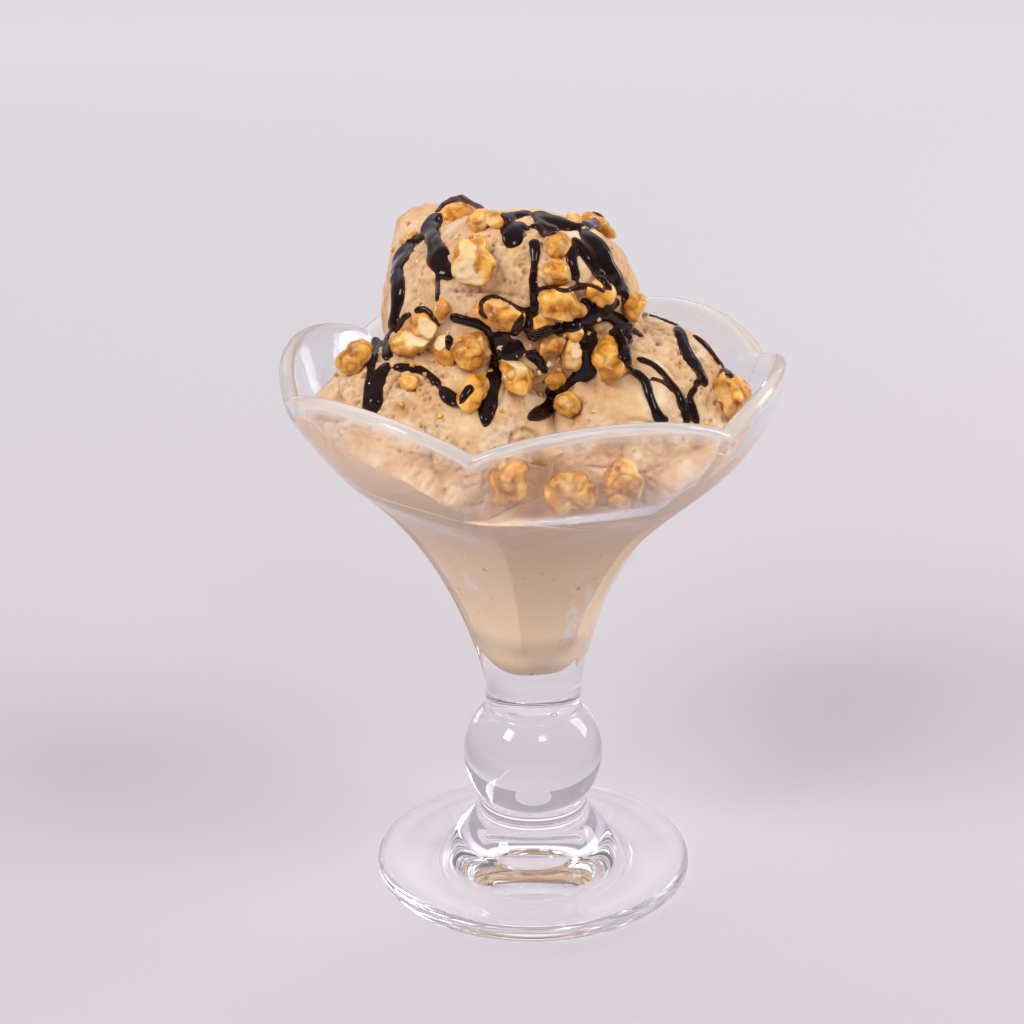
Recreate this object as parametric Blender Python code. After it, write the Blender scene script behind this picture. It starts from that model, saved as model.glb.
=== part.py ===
"""Ice cream sundae: a footed pressed-glass dish, scoops of ice cream, walnut pieces and chocolate.

Sizes are in millimetres until mesh_object turns them to metres. +Z is up, the origin is the middle
of the foot's resting ring, and -Y is the front. Azimuths are degrees counter-clockwise from +X.
"""

import math
from typing import NamedTuple

import bmesh
import bpy
import numpy as np

MM = 0.001
GAP = 0.3

# Foot: a round plate with a rolled edge, a shallow hollow underneath and a dimple in its middle
FOOT_RADIUS = 38.0
FOOT_EDGE_HEIGHT = 4.5
RESTING_RING_WIDTH = 2.75
HOLLOW_HEIGHT = 1.6
DIMPLE_RADIUS = 9.5
DIMPLE_HEIGHT = 4.2

# Top of the foot from its rolled edge to the knop, as share of the foot's radius and height
FOOT_FLARE = ((0.79, 5.4), (0.63, 7.1), (0.48, 10.2), (0.39, 14.2), (0.345, 18.0))

# Ball knop between the foot and the stem
KNOP_RADIUS = 16.6
KNOP_CENTRE_HEIGHT = 31.0
FOOT_NECK_RADIUS = 12.7
STEM_NECK_RADIUS = 11.5

# Bowl: a funnel with six ribs that opens into six petals; each rib ends in a dip of the rim
PETALS = 6
FIRST_RIB_AZIMUTH = 17.0
RIB_SHARPNESS = 0.75
WALL = 3.7
RIM_HEIGHT_RIB = 122.5
RIM_HEIGHT_PETAL = 129.2
RIM_RADIUS_RIB = 56.8
RIM_RADIUS_PETAL = 57.2
CAVITY_FLOOR_HEIGHT = 54.5

# The cavity's rounded floor, as radius and rise above its lowest point
FLOOR_ROUNDING = ((4.6, 0.8), (7.0, 3.2), (9.2, 7.0))
FLOOR_ROUNDING_RISE = 11.0

# Outside of the bowl from the stem up, as (radius, height), along a rib and mid-petal
RIB_PROFILE = (
    (11.4, 43.0), (11.5, 48.5), (12.6, 54.5), (15.2, 62.5), (19.7, 73.5), (25.8, 84.5),
    (33.2, 94.2), (40.8, 101.5), (48.8, 110.5), (54.0, 117.5),
    (RIM_RADIUS_RIB, RIM_HEIGHT_RIB),
)
PETAL_PROFILE = (
    (11.4, 43.0), (11.5, 48.5), (12.3, 54.5), (14.3, 62.5), (18.0, 73.5), (23.8, 84.5),
    (30.0, 94.5), (36.0, 100.2), (44.4, 105.6), (51.2, 113.5), (55.2, 121.5),
    (RIM_RADIUS_PETAL, RIM_HEIGHT_PETAL),
)

# Facets: the lower half of the dish has half as many round as the bowl
BOWL_SEGMENTS = 54
FOOT_SEGMENTS = 27
ROOM_SEGMENTS = 36
EDGE_RINGS = 5
KNOP_RINGS = 8
BOWL_RINGS = 14
CAVITY_RINGS = 12
BEAD_RINGS = 3
FINE_KNOTS = 200
CAVITY_KNOTS = 20
SHARP_ANGLE = math.radians(50.0)
WELD = 0.00002

# Ice cream in the funnel stops below the petals, and the scoops lie on it
FILLING_HEIGHT = 104.0
FILLING_CROWN = 3.0
CROWN_RING = (0.6, 0.75)
WALL_CLEARANCE = 0.25
ROOM_TOP = 200.0
ROOM_REACH = 70.0

# A front view from a little above, in which the toppings are laid out: a point on the axis that
# it looks at, how far away it is seen from, and how steeply it looks down
VIEW_CENTRE_HEIGHT = 92.3
VIEW_DISTANCE = 531.5
VIEW_TILT = math.radians(21.0)
SIGHT_NEAR = 80.0
SIGHT_FAR = 60.0
SIGHT_STEP = 0.25

# Unevenness: number of sine waves, and how closely they may follow each other round a ball
SCOOP_WAVES = 9
WALNUT_WAVES = 6
WAVE_RATES = (2.0, 6.5)

# Walnut pieces: facet points, and shares of their half size
WALNUT_POINTS = 30
WALNUT_BODY = 0.86
WALNUT_FOLD = 0.22
WALNUT_FOLD_RATE = 3.4
WALNUT_UNEVENNESS = 0.11
WALNUT_BREAK = 0.62
WALNUT_FLATTENING = 0.85
WALNUT_THICKNESS = 0.82

# Runs of sauce: sides of the tube, thickness at the upper and lower ends, and of its round ends
STRAND_SIDES = 5
STRAND_TAPER = (0.85, 1.1)
STRAND_TIP = 0.6


class Bump(NamedTuple):
    """A rise of a scoop, or a dent where its height is below 0: direction, height and spread.

    The height is in millimetres. The spread is the angle in radians at which little is left of it.
    """

    direction: tuple
    height: float
    spread: float


class Scoop(NamedTuple):
    """A ball of ice cream: middle, half sizes, how square it is (2 is round), share of
    unevenness, seed, number of surface points, and its bumps.
    """

    name: str
    centre: tuple
    half_size: tuple
    squareness: float
    unevenness: float
    seed: int
    points: int
    bumps: tuple = ()


LEFT_BUMPS = (
    Bump((-0.90, 0.00, 0.20), 2.0, 0.40),
    Bump((-0.85, -0.40, -0.40), 5.0, 0.60),
)
RIGHT_BUMPS = (Bump((0.35, 0.20, 0.90), 3.0, 0.60),)
TOP_BUMPS = (
    Bump((-0.68, 0.36, 0.62), 3.5, 0.26),
    Bump((-0.35, 0.48, 0.80), -2.1, 0.30),
    Bump((0.05, 0.50, 0.87), -4.2, 0.35),
    Bump((0.47, 0.40, 0.79), -1.6, 0.30),
    Bump((0.74, -0.10, 0.68), -3.5, 0.25),
    Bump((0.92, -0.15, 0.36), -3.0, 0.25),
)

SCOOPS = (
    Scoop("scoop_left", (-19.5, -12.0, 114.5), (28.5, 27.0, 24.5), 2.15, 0.045, 3, 250, LEFT_BUMPS),
    Scoop("scoop_right", (20.5, -7.0, 112.5), (25.5, 26.0, 25.0), 2.0, 0.04, 8, 228, RIGHT_BUMPS),
    Scoop("scoop_back", (1.0, 22.0, 112.0), (29.0, 25.0, 25.0), 2.1, 0.05, 15, 200),
    Scoop("scoop_top", (-3.5, 1.0, 138.5), (29.0, 24.5, 25.0), 3.0, 0.06, 22, 255, TOP_BUMPS),
)


class Walnut(NamedTuple):
    """A piece of walnut, placed in the front view in millimetres right of and above its centre.

    Length runs along the turned direction, width across it, and turn is counter-clockwise.
    Lift is how far the middle stands off the ice cream, as a share of the thickness.
    """

    across: float
    up: float
    length: float
    width: float
    turn: float
    lift: float = 0.25
    behind: bool = False


WALNUTS = (
    Walnut(-17.1, 68.3, 9.0, 6.4, 15.0, 0.1),
    Walnut(-12.4, 66.4, 7.4, 5.2, 80.0, 0.3),
    Walnut(-8.8, 66.8, 5.6, 4.4, 120.0),
    Walnut(-12.9, 56.6, 12.4, 9.8, 110.0, 0.3),
    Walnut(14.4, 64.8, 10.0, 5.0, 85.0, 0.3),
    Walnut(9.2, 66.8, 4.8, 4.0, 10.0),
    Walnut(5.1, 61.3, 7.6, 6.6, 60.0, 0.1),
    Walnut(5.0, 54.8, 8.0, 6.4, 170.0),
    Walnut(5.8, 47.6, 11.0, 8.0, 175.0, 0.3),
    Walnut(14.8, 50.3, 7.6, 6.0, 160.0),
    Walnut(1.3, 43.5, 6.6, 5.6, 30.0),
    Walnut(4.2, 38.9, 6.8, 5.0, 10.0),
    Walnut(8.6, 36.5, 7.4, 5.0, 100.0),
    Walnut(9.2, 41.6, 5.0, 4.0, 70.0),
    Walnut(-7.7, 45.8, 11.2, 7.0, 160.0, 0.3),
    Walnut(-24.6, 43.1, 7.0, 5.8, 150.0),
    Walnut(-20.7, 46.6, 5.6, 4.2, 70.0),
    Walnut(-28.1, 37.3, 10.8, 7.6, 5.0, 0.3),
    Walnut(-19.9, 37.5, 8.0, 5.4, 95.0),
    Walnut(-13.3, 38.1, 10.0, 8.8, 45.0, 0.3),
    Walnut(-5.1, 30.1, 10.4, 7.2, 100.0, 0.3),
    Walnut(-13.9, 26.8, 11.6, 6.0, 65.0, 0.25),
    Walnut(18.3, 34.2, 14.6, 8.6, 95.0, 0.35),
    Walnut(8.6, 24.3, 6.8, 6.2, 140.0),
    Walnut(22.4, 47.2, 7.0, 6.0, 70.0),
    Walnut(-28.0, 62.3, 5.2, 4.2, 100.0),
    Walnut(-39.8, 34.2, 9.8, 7.8, 60.0, 0.3),
    Walnut(44.3, 26.2, 12.6, 10.2, 30.0, 0.2),
    Walnut(-28.4, 29.4, 5.0, 4.2, 20.0),
    Walnut(4.9, 30.9, 5.4, 4.2, 20.0),
    Walnut(-9.0, 51.0, 11.0, 8.4, 140.0, 0.3, True),
    Walnut(13.0, 52.0, 12.0, 8.0, 30.0, 0.3, True),
    Walnut(-16.0, 41.0, 9.0, 7.2, 100.0, 0.3, True),
    Walnut(0.0, 38.0, 10.4, 7.6, 160.0, 0.3, True),
    Walnut(21.0, 34.0, 9.6, 7.0, 60.0, 0.3, True),
    Walnut(-12.0, 30.0, 8.4, 6.6, 20.0, 0.3, True),
    Walnut(10.0, 27.0, 11.4, 7.4, 120.0, 0.3, True),
)


class PocketWalnut(NamedTuple):
    """A walnut piece that lies between the ice cream and the glass: azimuth, radius and height."""

    azimuth: float
    radius: float
    height: float
    length: float
    width: float
    turn: float


POCKET_WALNUTS = (
    PocketWalnut(263.0, 40.5, 115.0, 10.5, 8.6, 70.0),
    PocketWalnut(281.0, 41.0, 112.5, 11.0, 8.2, 10.0),
    PocketWalnut(297.0, 41.5, 113.5, 9.0, 8.4, 60.0),
    PocketWalnut(273.0, 40.5, 121.5, 8.0, 6.0, 0.0),
)


class Strand(NamedTuple):
    """A thick run of chocolate on one scoop, through points (across, up) of the front view."""

    scoop: str
    width: float
    route: tuple
    behind: bool = False


STRANDS = (
    Strand("scoop_top", 3.6, ((-23.0, 66.0), (-28.4, 62.0), (-31.7, 57.0), (-31.2, 50.0), (-32.2, 43.0))),
    Strand("scoop_top", 3.4, ((-22.5, 62.5), (-22.0, 58.2), (-18.0, 53.6))),
    Strand("scoop_top", 4.6, ((-8.0, 64.5), (-3.5, 63.0), (1.0, 66.5), (9.0, 66.0), (15.5, 61.0))),
    Strand("scoop_top", 3.2, ((12.0, 64.5), (15.7, 57.8), (21.0, 50.8), (22.5, 45.5))),
    Strand("scoop_top", 2.6, ((0.5, 62.0), (0.0, 54.0), (-0.8, 48.0))),
    Strand("scoop_left", 3.4, ((-33.0, 39.5), (-35.0, 33.0), (-37.0, 27.0), (-37.5, 23.0))),
    Strand("scoop_left", 2.8, ((-31.0, 33.4), (-26.0, 32.7), (-21.5, 28.8), (-17.5, 25.0))),
    Strand("scoop_left", 3.0, ((-9.0, 33.0), (-10.2, 26.0), (-11.0, 20.0))),
    Strand("scoop_left", 3.0, ((-28.0, 43.0), (-22.0, 41.0), (-13.0, 42.5), (-4.0, 37.0), (1.0, 32.0))),
    Strand("scoop_right", 4.0, ((12.8, 38.0), (10.5, 31.0), (4.5, 26.5), (1.5, 22.5))),
    Strand("scoop_right", 2.6, ((23.3, 32.5), (27.0, 26.8), (30.0, 20.3))),
    Strand("scoop_right", 3.2, ((33.8, 42.0), (36.1, 35.4), (39.0, 30.5), (36.8, 26.0), (38.0, 20.0))),
    Strand("scoop_right", 3.0, ((13.0, 40.0), (18.0, 42.5), (25.5, 42.0))),
    Strand("scoop_top", 3.2, ((-14.0, 66.0), (-17.0, 58.0), (-15.0, 50.0)), True),
    Strand("scoop_top", 3.0, ((6.0, 66.0), (2.0, 58.0), (5.0, 51.0)), True),
    Strand("scoop_back", 3.2, ((-18.0, 40.0), (-21.0, 33.0), (-19.0, 26.0)), True),
    Strand("scoop_back", 3.0, ((8.0, 37.0), (16.0, 33.0), (19.0, 25.0)), True),
)


def clear_scene():
    """Remove every object that the scene holds."""
    for item in list(bpy.data.objects):
        bpy.data.objects.remove(item, do_unlink=True)


def make_material(name, colour, roughness, transmission=0.0, ior=1.45):
    """A Principled material with one colour, no metal."""
    material = bpy.data.materials.new(name)
    material.use_nodes = True
    shader = material.node_tree.nodes["Principled BSDF"]
    shader.inputs["Base Color"].default_value = (*colour, 1.0)
    shader.inputs["Roughness"].default_value = roughness
    shader.inputs["Metallic"].default_value = 0.0
    shader.inputs["Transmission Weight"].default_value = transmission
    shader.inputs["IOR"].default_value = ior
    material.diffuse_color = (*colour, 1.0)
    return material


def mesh_object(name, points, faces, material):
    """A smooth-shaded object from points in millimetres and faces."""
    mesh = bpy.data.meshes.new(name)
    mesh.from_pydata((np.asarray(points) * MM).tolist(), [], faces)
    mesh.materials.append(material)
    mesh.shade_smooth()
    mesh.set_sharp_from_angle(angle=SHARP_ANGLE)
    item = bpy.data.objects.new(name, mesh)
    bpy.context.collection.objects.link(item)
    return item


def curve_through(knots, count):
    """Evenly spaced points on a smooth curve through the knots (cubic Hermite by arc length)."""
    knots = np.asarray(knots, dtype=float)
    length = np.concatenate(([0.0], np.cumsum(np.linalg.norm(np.diff(knots, axis=0), axis=1))))
    slope = np.gradient(knots, length, axis=0)
    at = np.linspace(0.0, length[-1], count)
    span = np.clip(np.searchsorted(length, at, side="right") - 1, 0, len(knots) - 2)
    step = (length[span + 1] - length[span])[:, None]
    t = (at - length[span])[:, None] / step
    start = (2 * t**3 - 3 * t**2 + 1) * knots[span] + (t**3 - 2 * t**2 + t) * step * slope[span]
    end = (3 * t**2 - 2 * t**3) * knots[span + 1] + (t**3 - t**2) * step * slope[span + 1]
    return start + end


def inset_profile(profile, distance):
    """Move a profile that runs upwards to its left-hand side, into the bowl."""
    along = np.gradient(profile, axis=0)
    along /= np.linalg.norm(along, axis=1)[:, None]
    return profile + distance * np.stack((-along[:, 1], along[:, 0]), axis=1)


def petal_share(azimuths):
    """0 on a rib, 1 in the middle of a petal, with a crease at each rib."""
    turns = np.radians(azimuths - FIRST_RIB_AZIMUTH) * PETALS / 2.0
    return np.abs(np.sin(turns)) ** RIB_SHARPNESS


def petal_rings(rib, petal, segments):
    """Rings of points: each profile point in its rib form and petal form, blended round."""
    azimuths = FIRST_RIB_AZIMUTH + np.arange(segments) * 360.0 / segments
    share = petal_share(azimuths)[None, :, None]
    flat = rib[:, None, :] * (1.0 - share) + petal[:, None, :] * share
    turn = np.radians(azimuths)[None, :]
    return np.stack(
        (flat[..., 0] * np.cos(turn), flat[..., 0] * np.sin(turn), flat[..., 1]), axis=-1
    )


def join_rings(rings, bottom=None, top=None):
    """Points and faces of a skin over rings, which may double in number of points once.

    A bottom or top point closes the skin's end with a fan.
    """
    points = [point for ring in rings for point in ring]
    starts = np.concatenate(([0], np.cumsum([len(ring) for ring in rings])))
    faces = []
    for lower, upper in zip(range(len(rings) - 1), range(1, len(rings))):
        a, b = int(starts[lower]), int(starts[upper])
        n, m = len(rings[lower]), len(rings[upper])
        for i in range(n):
            j = (i + 1) % n
            if m == n:
                faces += [(a + i, a + j, b + j), (a + i, b + j, b + i)]
            else:
                p, q, r = b + 2 * i, b + 2 * i + 1, b + (2 * i + 2) % m
                faces += [(a + i, q, p), (a + i, a + j, q), (a + j, r, q)]
    if bottom is not None:
        pole, n = len(points), len(rings[0])
        points.append(bottom)
        faces += [(pole, (i + 1) % n, i) for i in range(n)]
    if top is not None:
        pole, n, a = len(points), len(rings[-1]), int(starts[-2])
        points.append(top)
        faces += [(pole, a + i, a + (i + 1) % n) for i in range(n)]
    return np.array(points), faces


def foot_and_knop_profile():
    """Underside, resting ring, rolled edge, flared top and ball knop, from the middle outwards."""
    edge = FOOT_EDGE_HEIGHT / 2.0
    edge_middle = FOOT_RADIUS - edge
    underside = [
        (DIMPLE_RADIUS * 0.6, DIMPLE_HEIGHT * 0.86),
        (DIMPLE_RADIUS, HOLLOW_HEIGHT),
        (FOOT_RADIUS * 0.6, HOLLOW_HEIGHT * 0.7),
        (edge_middle - RESTING_RING_WIDTH, 0.0),
    ]
    rolled = [
        (edge_middle + edge * math.sin(turn), edge - edge * math.cos(turn))
        for turn in np.radians(np.linspace(0.0, 180.0, EDGE_RINGS))
    ]
    flare = [(FOOT_RADIUS * share, height) for share, height in FOOT_FLARE]
    low = math.acos(-math.sqrt(1.0 - (FOOT_NECK_RADIUS / KNOP_RADIUS) ** 2))
    high = math.acos(math.sqrt(1.0 - (STEM_NECK_RADIUS / KNOP_RADIUS) ** 2))
    knop = [
        (KNOP_RADIUS * math.sin(turn), KNOP_CENTRE_HEIGHT + KNOP_RADIUS * math.cos(turn))
        for turn in np.linspace(low, high, KNOP_RINGS)
    ]
    return np.array(underside + rolled + flare + knop)


def round_ring(radius, height, segments):
    """A level ring of points that starts at the first rib."""
    turn = np.radians(FIRST_RIB_AZIMUTH + np.arange(segments) * 360.0 / segments)
    return np.stack(
        (radius * np.cos(turn), radius * np.sin(turn), np.full(segments, height)), axis=-1
    )


def bead_profile(outside, inside):
    """A half round from the outer wall's end to the inner wall's end, over the rim."""
    middle = (outside + inside) / 2.0
    reach = (outside - inside) / 2.0
    rise = np.array((-reach[1], reach[0]))
    turn = np.radians(np.linspace(0.0, 180.0, BEAD_RINGS + 2))[1:-1, None]
    return middle + reach * np.cos(turn) + rise * np.sin(turn)


def cavity_profile(profile, inset):
    """Inside of the bowl from the rim down to just above its floor, inset from the outer wall."""
    fine = curve_through(profile, FINE_KNOTS)
    inner = inset_profile(fine, WALL + inset)
    floor = CAVITY_FLOOR_HEIGHT + inset
    inner = inner[inner[:, 1] > floor + FLOOR_ROUNDING_RISE]
    rounding = [(radius - inset, floor + rise) for radius, rise in FLOOR_ROUNDING]
    picked = np.linspace(0, len(inner) - 1, CAVITY_KNOTS).astype(int)
    return curve_through(np.concatenate((rounding, inner[picked])), CAVITY_RINGS)[::-1]


def make_glass(material):
    """The dish in one piece: foot, knop, stem, funnel, petals with a beaded rim, and cavity."""
    rib = curve_through(RIB_PROFILE, BOWL_RINGS)
    petal = curve_through(PETAL_PROFILE, BOWL_RINGS)
    rib_inside = cavity_profile(RIB_PROFILE, 0.0)
    petal_inside = cavity_profile(PETAL_PROFILE, 0.0)
    rib_bead = bead_profile(rib[-1], rib_inside[0])
    petal_bead = bead_profile(petal[-1], petal_inside[0])
    rings = [round_ring(radius, height, FOOT_SEGMENTS) for radius, height in foot_and_knop_profile()]
    for low, high in ((rib, petal), (rib_bead, petal_bead), (rib_inside, petal_inside)):
        rings += list(petal_rings(low, high, BOWL_SEGMENTS))
    points, faces = join_rings(
        rings, bottom=(0.0, 0.0, DIMPLE_HEIGHT), top=(0.0, 0.0, CAVITY_FLOOR_HEIGHT)
    )
    return mesh_object("glass_dish", points, faces, material)


def inside_rings():
    """Rings just inside the bowl's wall, one gap clear of the glass, from the floor to the rim."""
    rib = cavity_profile(RIB_PROFILE, GAP + WALL_CLEARANCE)[::-1]
    petal = cavity_profile(PETAL_PROFILE, GAP + WALL_CLEARANCE)[::-1]
    return list(petal_rings(rib, petal, ROOM_SEGMENTS))


def make_bowl_room(material):
    """The space inside the bowl, carried straight up past the rim: what stands in it stays here."""
    rings = inside_rings()
    top = rings[-1].copy()
    top[:, 2] = ROOM_TOP
    floor = (0.0, 0.0, CAVITY_FLOOR_HEIGHT + GAP)
    points, faces = join_rings(rings + [top], bottom=floor, top=(0.0, 0.0, ROOM_TOP))
    return mesh_object("bowl_room", points, faces, material)


def filling_top_rings():
    """The wall rings below the filling's top, its edge at the wall, and a ring near its crown."""
    rings = np.array(inside_rings())
    heights = rings[..., 2]
    edge = np.array([
        [np.interp(FILLING_HEIGHT, heights[:, column], rings[:, column, axis]) for axis in range(3)]
        for column in range(rings.shape[1])
    ])
    below = [ring for ring in rings if ring[:, 2].max() < FILLING_HEIGHT - 1.0]
    inward, rise = CROWN_RING
    crown = edge * (inward, inward, 1.0) + (0.0, 0.0, FILLING_CROWN * rise)
    return below, [edge, crown]


def make_filling(material):
    """The ice cream packed in the funnel, up to a low crown under the scoops."""
    wall, top_rings = filling_top_rings()
    floor = (0.0, 0.0, CAVITY_FLOOR_HEIGHT + GAP)
    crown = (0.0, 0.0, FILLING_HEIGHT + FILLING_CROWN)
    points, faces = join_rings(wall + top_rings, bottom=floor, top=crown)
    return mesh_object("ice_cream_filling", points, faces, material)


def make_filling_space(material):
    """All that lies lower than one gap above the filling's top, out past the dish."""
    _, top_rings = filling_top_rings()
    lift = np.array((0.0, 0.0, GAP))
    base = round_ring(ROOM_REACH, CAVITY_FLOOR_HEIGHT, ROOM_SEGMENTS)
    brim = round_ring(ROOM_REACH, FILLING_HEIGHT + GAP, ROOM_SEGMENTS)
    rings = [base, brim] + [ring + lift for ring in top_rings]
    crown = (0.0, 0.0, FILLING_HEIGHT + FILLING_CROWN + GAP)
    points, faces = join_rings(rings, bottom=(0.0, 0.0, CAVITY_FLOOR_HEIGHT), top=crown)
    return mesh_object("filling_space", points, faces, material)


def even_directions(count):
    """Unit vectors spread evenly over a sphere along a golden-angle spiral."""
    index = np.arange(count) + 0.5
    z = 1.0 - 2.0 * index / count
    turn = math.pi * (1.0 + math.sqrt(5.0)) * index
    flat = np.sqrt(1.0 - z * z)
    return np.stack((flat * np.cos(turn), flat * np.sin(turn), z), axis=1)


def lumps(directions, seed, waves):
    """Smooth unevenness between about -1 and 1: sine waves in seeded random directions."""
    draw = np.random.default_rng(seed)
    total = np.zeros(len(directions))
    for number in range(waves):
        axis = draw.normal(size=3)
        axis *= draw.uniform(*WAVE_RATES) / np.linalg.norm(axis)
        total += np.sin(directions @ axis + draw.uniform(0.0, 2.0 * math.pi))
    return total / math.sqrt(waves)


def hull_faces(directions):
    """Triangles between directions: the faces of their convex hull, pointing out."""
    shape = bmesh.new()
    for direction in directions:
        shape.verts.new(direction)
    shape.verts.index_update()
    bmesh.ops.convex_hull(shape, input=shape.verts)
    bmesh.ops.recalc_face_normals(shape, faces=shape.faces)
    faces = [tuple(vertex.index for vertex in face.verts) for face in shape.faces]
    shape.free()
    return faces


def scoop_radius(scoop, directions):
    """Distance from a scoop's middle to its surface along each direction."""
    power = scoop.squareness
    share = np.abs(directions / np.asarray(scoop.half_size)) ** power
    smooth = share.sum(axis=1) ** (-1.0 / power)
    radius = smooth * (1.0 + scoop.unevenness * lumps(directions, scoop.seed, SCOOP_WAVES))
    for bump in scoop.bumps:
        middle = np.asarray(bump.direction) / np.linalg.norm(bump.direction)
        angle = np.arccos(np.clip(directions @ middle, -1.0, 1.0))
        radius += bump.height * np.exp(-((angle / bump.spread) ** 2))
    return radius


def make_lump(scoop, swell, name, material):
    """A scoop's whole ball, swollen by an even distance."""
    directions = even_directions(scoop.points)
    radius = scoop_radius(scoop, directions)[:, None] + swell
    points = np.asarray(scoop.centre) + directions * radius
    return mesh_object(name, points, hull_faces(directions), material)


def view_axes(behind):
    """Right, up and forward directions of the front view, or of the same view from behind."""
    side = -1.0 if behind else 1.0
    right = np.array((side, 0.0, 0.0))
    up = np.array((0.0, side * math.sin(VIEW_TILT), math.cos(VIEW_TILT)))
    forward = np.array((0.0, side * math.cos(VIEW_TILT), -math.sin(VIEW_TILT)))
    return right, up, forward


def sight_line(across, up_by, behind):
    """Start and unit direction of the line of sight to a place in the view."""
    right, up, forward = view_axes(behind)
    centre = np.array((0.0, 0.0, VIEW_CENTRE_HEIGHT))
    eye = centre - forward * VIEW_DISTANCE
    direction = centre + right * across + up * up_by - eye
    return eye, direction / np.linalg.norm(direction)


def first_hit(scoops, across, up_by, behind):
    """Nearest point that a line of sight meets on any of the scoops, and the way out there.

    Where the line misses them all, the point of it that passes nearest is taken.
    """
    eye, direction = sight_line(across, up_by, behind)
    steps = np.arange(VIEW_DISTANCE - SIGHT_NEAR, VIEW_DISTANCE + SIGHT_FAR, SIGHT_STEP)
    line = eye + steps[:, None] * direction
    depths = []
    for scoop in scoops:
        offset = line - np.asarray(scoop.centre)
        distance = np.linalg.norm(offset, axis=1)
        depths.append(distance - scoop_radius(scoop, offset / distance[:, None]))
    depth = np.array(depths)
    inside = np.nonzero(depth.min(axis=0) < 0.0)[0]
    at = int(inside[0]) if len(inside) else int(np.argmin(depth.min(axis=0)))
    scoop = scoops[int(np.argmin(depth[:, at]))]
    outward = line[at] - np.asarray(scoop.centre)
    outward = outward / np.asarray(scoop.half_size) ** 2
    return line[at], outward / np.linalg.norm(outward)


def strand_path(strand):
    """Points along a run of sauce on its scoop's surface, and the way out at each of them."""
    scoop = next(item for item in SCOOPS if item.name == strand.scoop)
    knots = [first_hit([scoop], *place, strand.behind)[0] for place in strand.route]
    offset = curve_through(knots, 2 * len(knots) + 1) - np.asarray(scoop.centre)
    out = offset / np.linalg.norm(offset, axis=1)[:, None]
    return np.asarray(scoop.centre) + out * scoop_radius(scoop, out)[:, None], out


def make_strand(name, strand, swell, material):
    """A tube of sauce half sunk in its scoop, thicker towards its lower end, with round ends."""
    path, out = strand_path(strand)
    along = np.gradient(path, axis=0)
    along /= np.linalg.norm(along, axis=1)[:, None]
    across = np.cross(along, out)
    across /= np.linalg.norm(across, axis=1)[:, None]
    rise = np.cross(across, along)
    taper = np.linspace(*STRAND_TAPER, len(path))
    taper[[0, -1]] *= STRAND_TIP
    half = (strand.width / 2.0 * taper)[:, None] + swell
    turns = np.arange(STRAND_SIDES) * 2.0 * math.pi / STRAND_SIDES
    rings = [path + half * (across * math.cos(turn) - rise * math.sin(turn)) for turn in turns]
    start = path[0] - along[0] * half[0] * STRAND_TIP
    end = path[-1] + along[-1] * half[-1] * STRAND_TIP
    points, faces = join_rings(list(np.stack(rings, axis=1)), bottom=start, top=end)
    item = mesh_object(name, points, faces, material)
    face_outwards(item)
    return item


def face_outwards(item):
    """Turn the faces of a closed mesh outwards."""
    shape = bmesh.new()
    shape.from_mesh(item.data)
    bmesh.ops.recalc_face_normals(shape, faces=shape.faces)
    shape.to_mesh(item.data)
    shape.free()


def walnut_points(length, width, seed, swell):
    """A broken walnut half: a lobed, folded piece with one flat broken face.

    Local X runs along its length, Y across it and Z out of the ice cream.
    """
    draw = np.random.default_rng(seed)
    directions = even_directions(WALNUT_POINTS)
    folds = 0.5 * np.abs(np.sin(directions[:, 0] * WALNUT_FOLD_RATE + draw.uniform(0.0, 6.0)))
    uneven = WALNUT_UNEVENNESS * lumps(directions, seed, WALNUT_WAVES)
    radius = WALNUT_BODY + WALNUT_FOLD * folds + uneven
    points = directions * radius[:, None]
    broken = draw.normal(size=3) * (1.0, 1.0, 0.5)
    broken /= np.linalg.norm(broken)
    past = points @ broken - WALNUT_BREAK
    points -= np.clip(past, 0.0, None)[:, None] * WALNUT_FLATTENING * broken
    size = np.array((length, width, WALNUT_THICKNESS * width)) / 2.0 + swell
    return directions, points * size


def place_walnut(name, centre, along, out, size, seed, swell, material):
    """A walnut piece at its place, its length along one direction and its top facing out."""
    directions, local = walnut_points(*size, seed, swell)
    along = along - out * float(along @ out)
    along /= np.linalg.norm(along)
    frame = np.stack((along, np.cross(out, along), out))
    return mesh_object(name, centre + local @ frame, hull_faces(directions), material)


def walnut_layout():
    """Name, centre, length direction, outward direction, size and seed of every walnut piece."""
    layout = []
    for number, piece in enumerate(WALNUTS):
        spot, out = first_hit(SCOOPS, piece.across, piece.up, piece.behind)
        right, up, _ = view_axes(piece.behind)
        turn = math.radians(piece.turn)
        along = right * math.cos(turn) + up * math.sin(turn)
        centre = spot + out * piece.lift * piece.width
        layout.append((centre, along, out, (piece.length, piece.width)))
    for piece in POCKET_WALNUTS:
        azimuth = math.radians(piece.azimuth)
        out = np.array((math.cos(azimuth), math.sin(azimuth), 0.0))
        centre = out * piece.radius + (0.0, 0.0, piece.height)
        turn = math.radians(piece.turn)
        side = np.array((-out[1], out[0], 0.0))
        along = side * math.cos(turn) + np.array((0.0, 0.0, math.sin(turn)))
        layout.append((centre, along, out, (piece.length, piece.width)))
    return [(f"walnut_{number + 1:02d}", *row, 100 + number) for number, row in enumerate(layout)]


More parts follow.
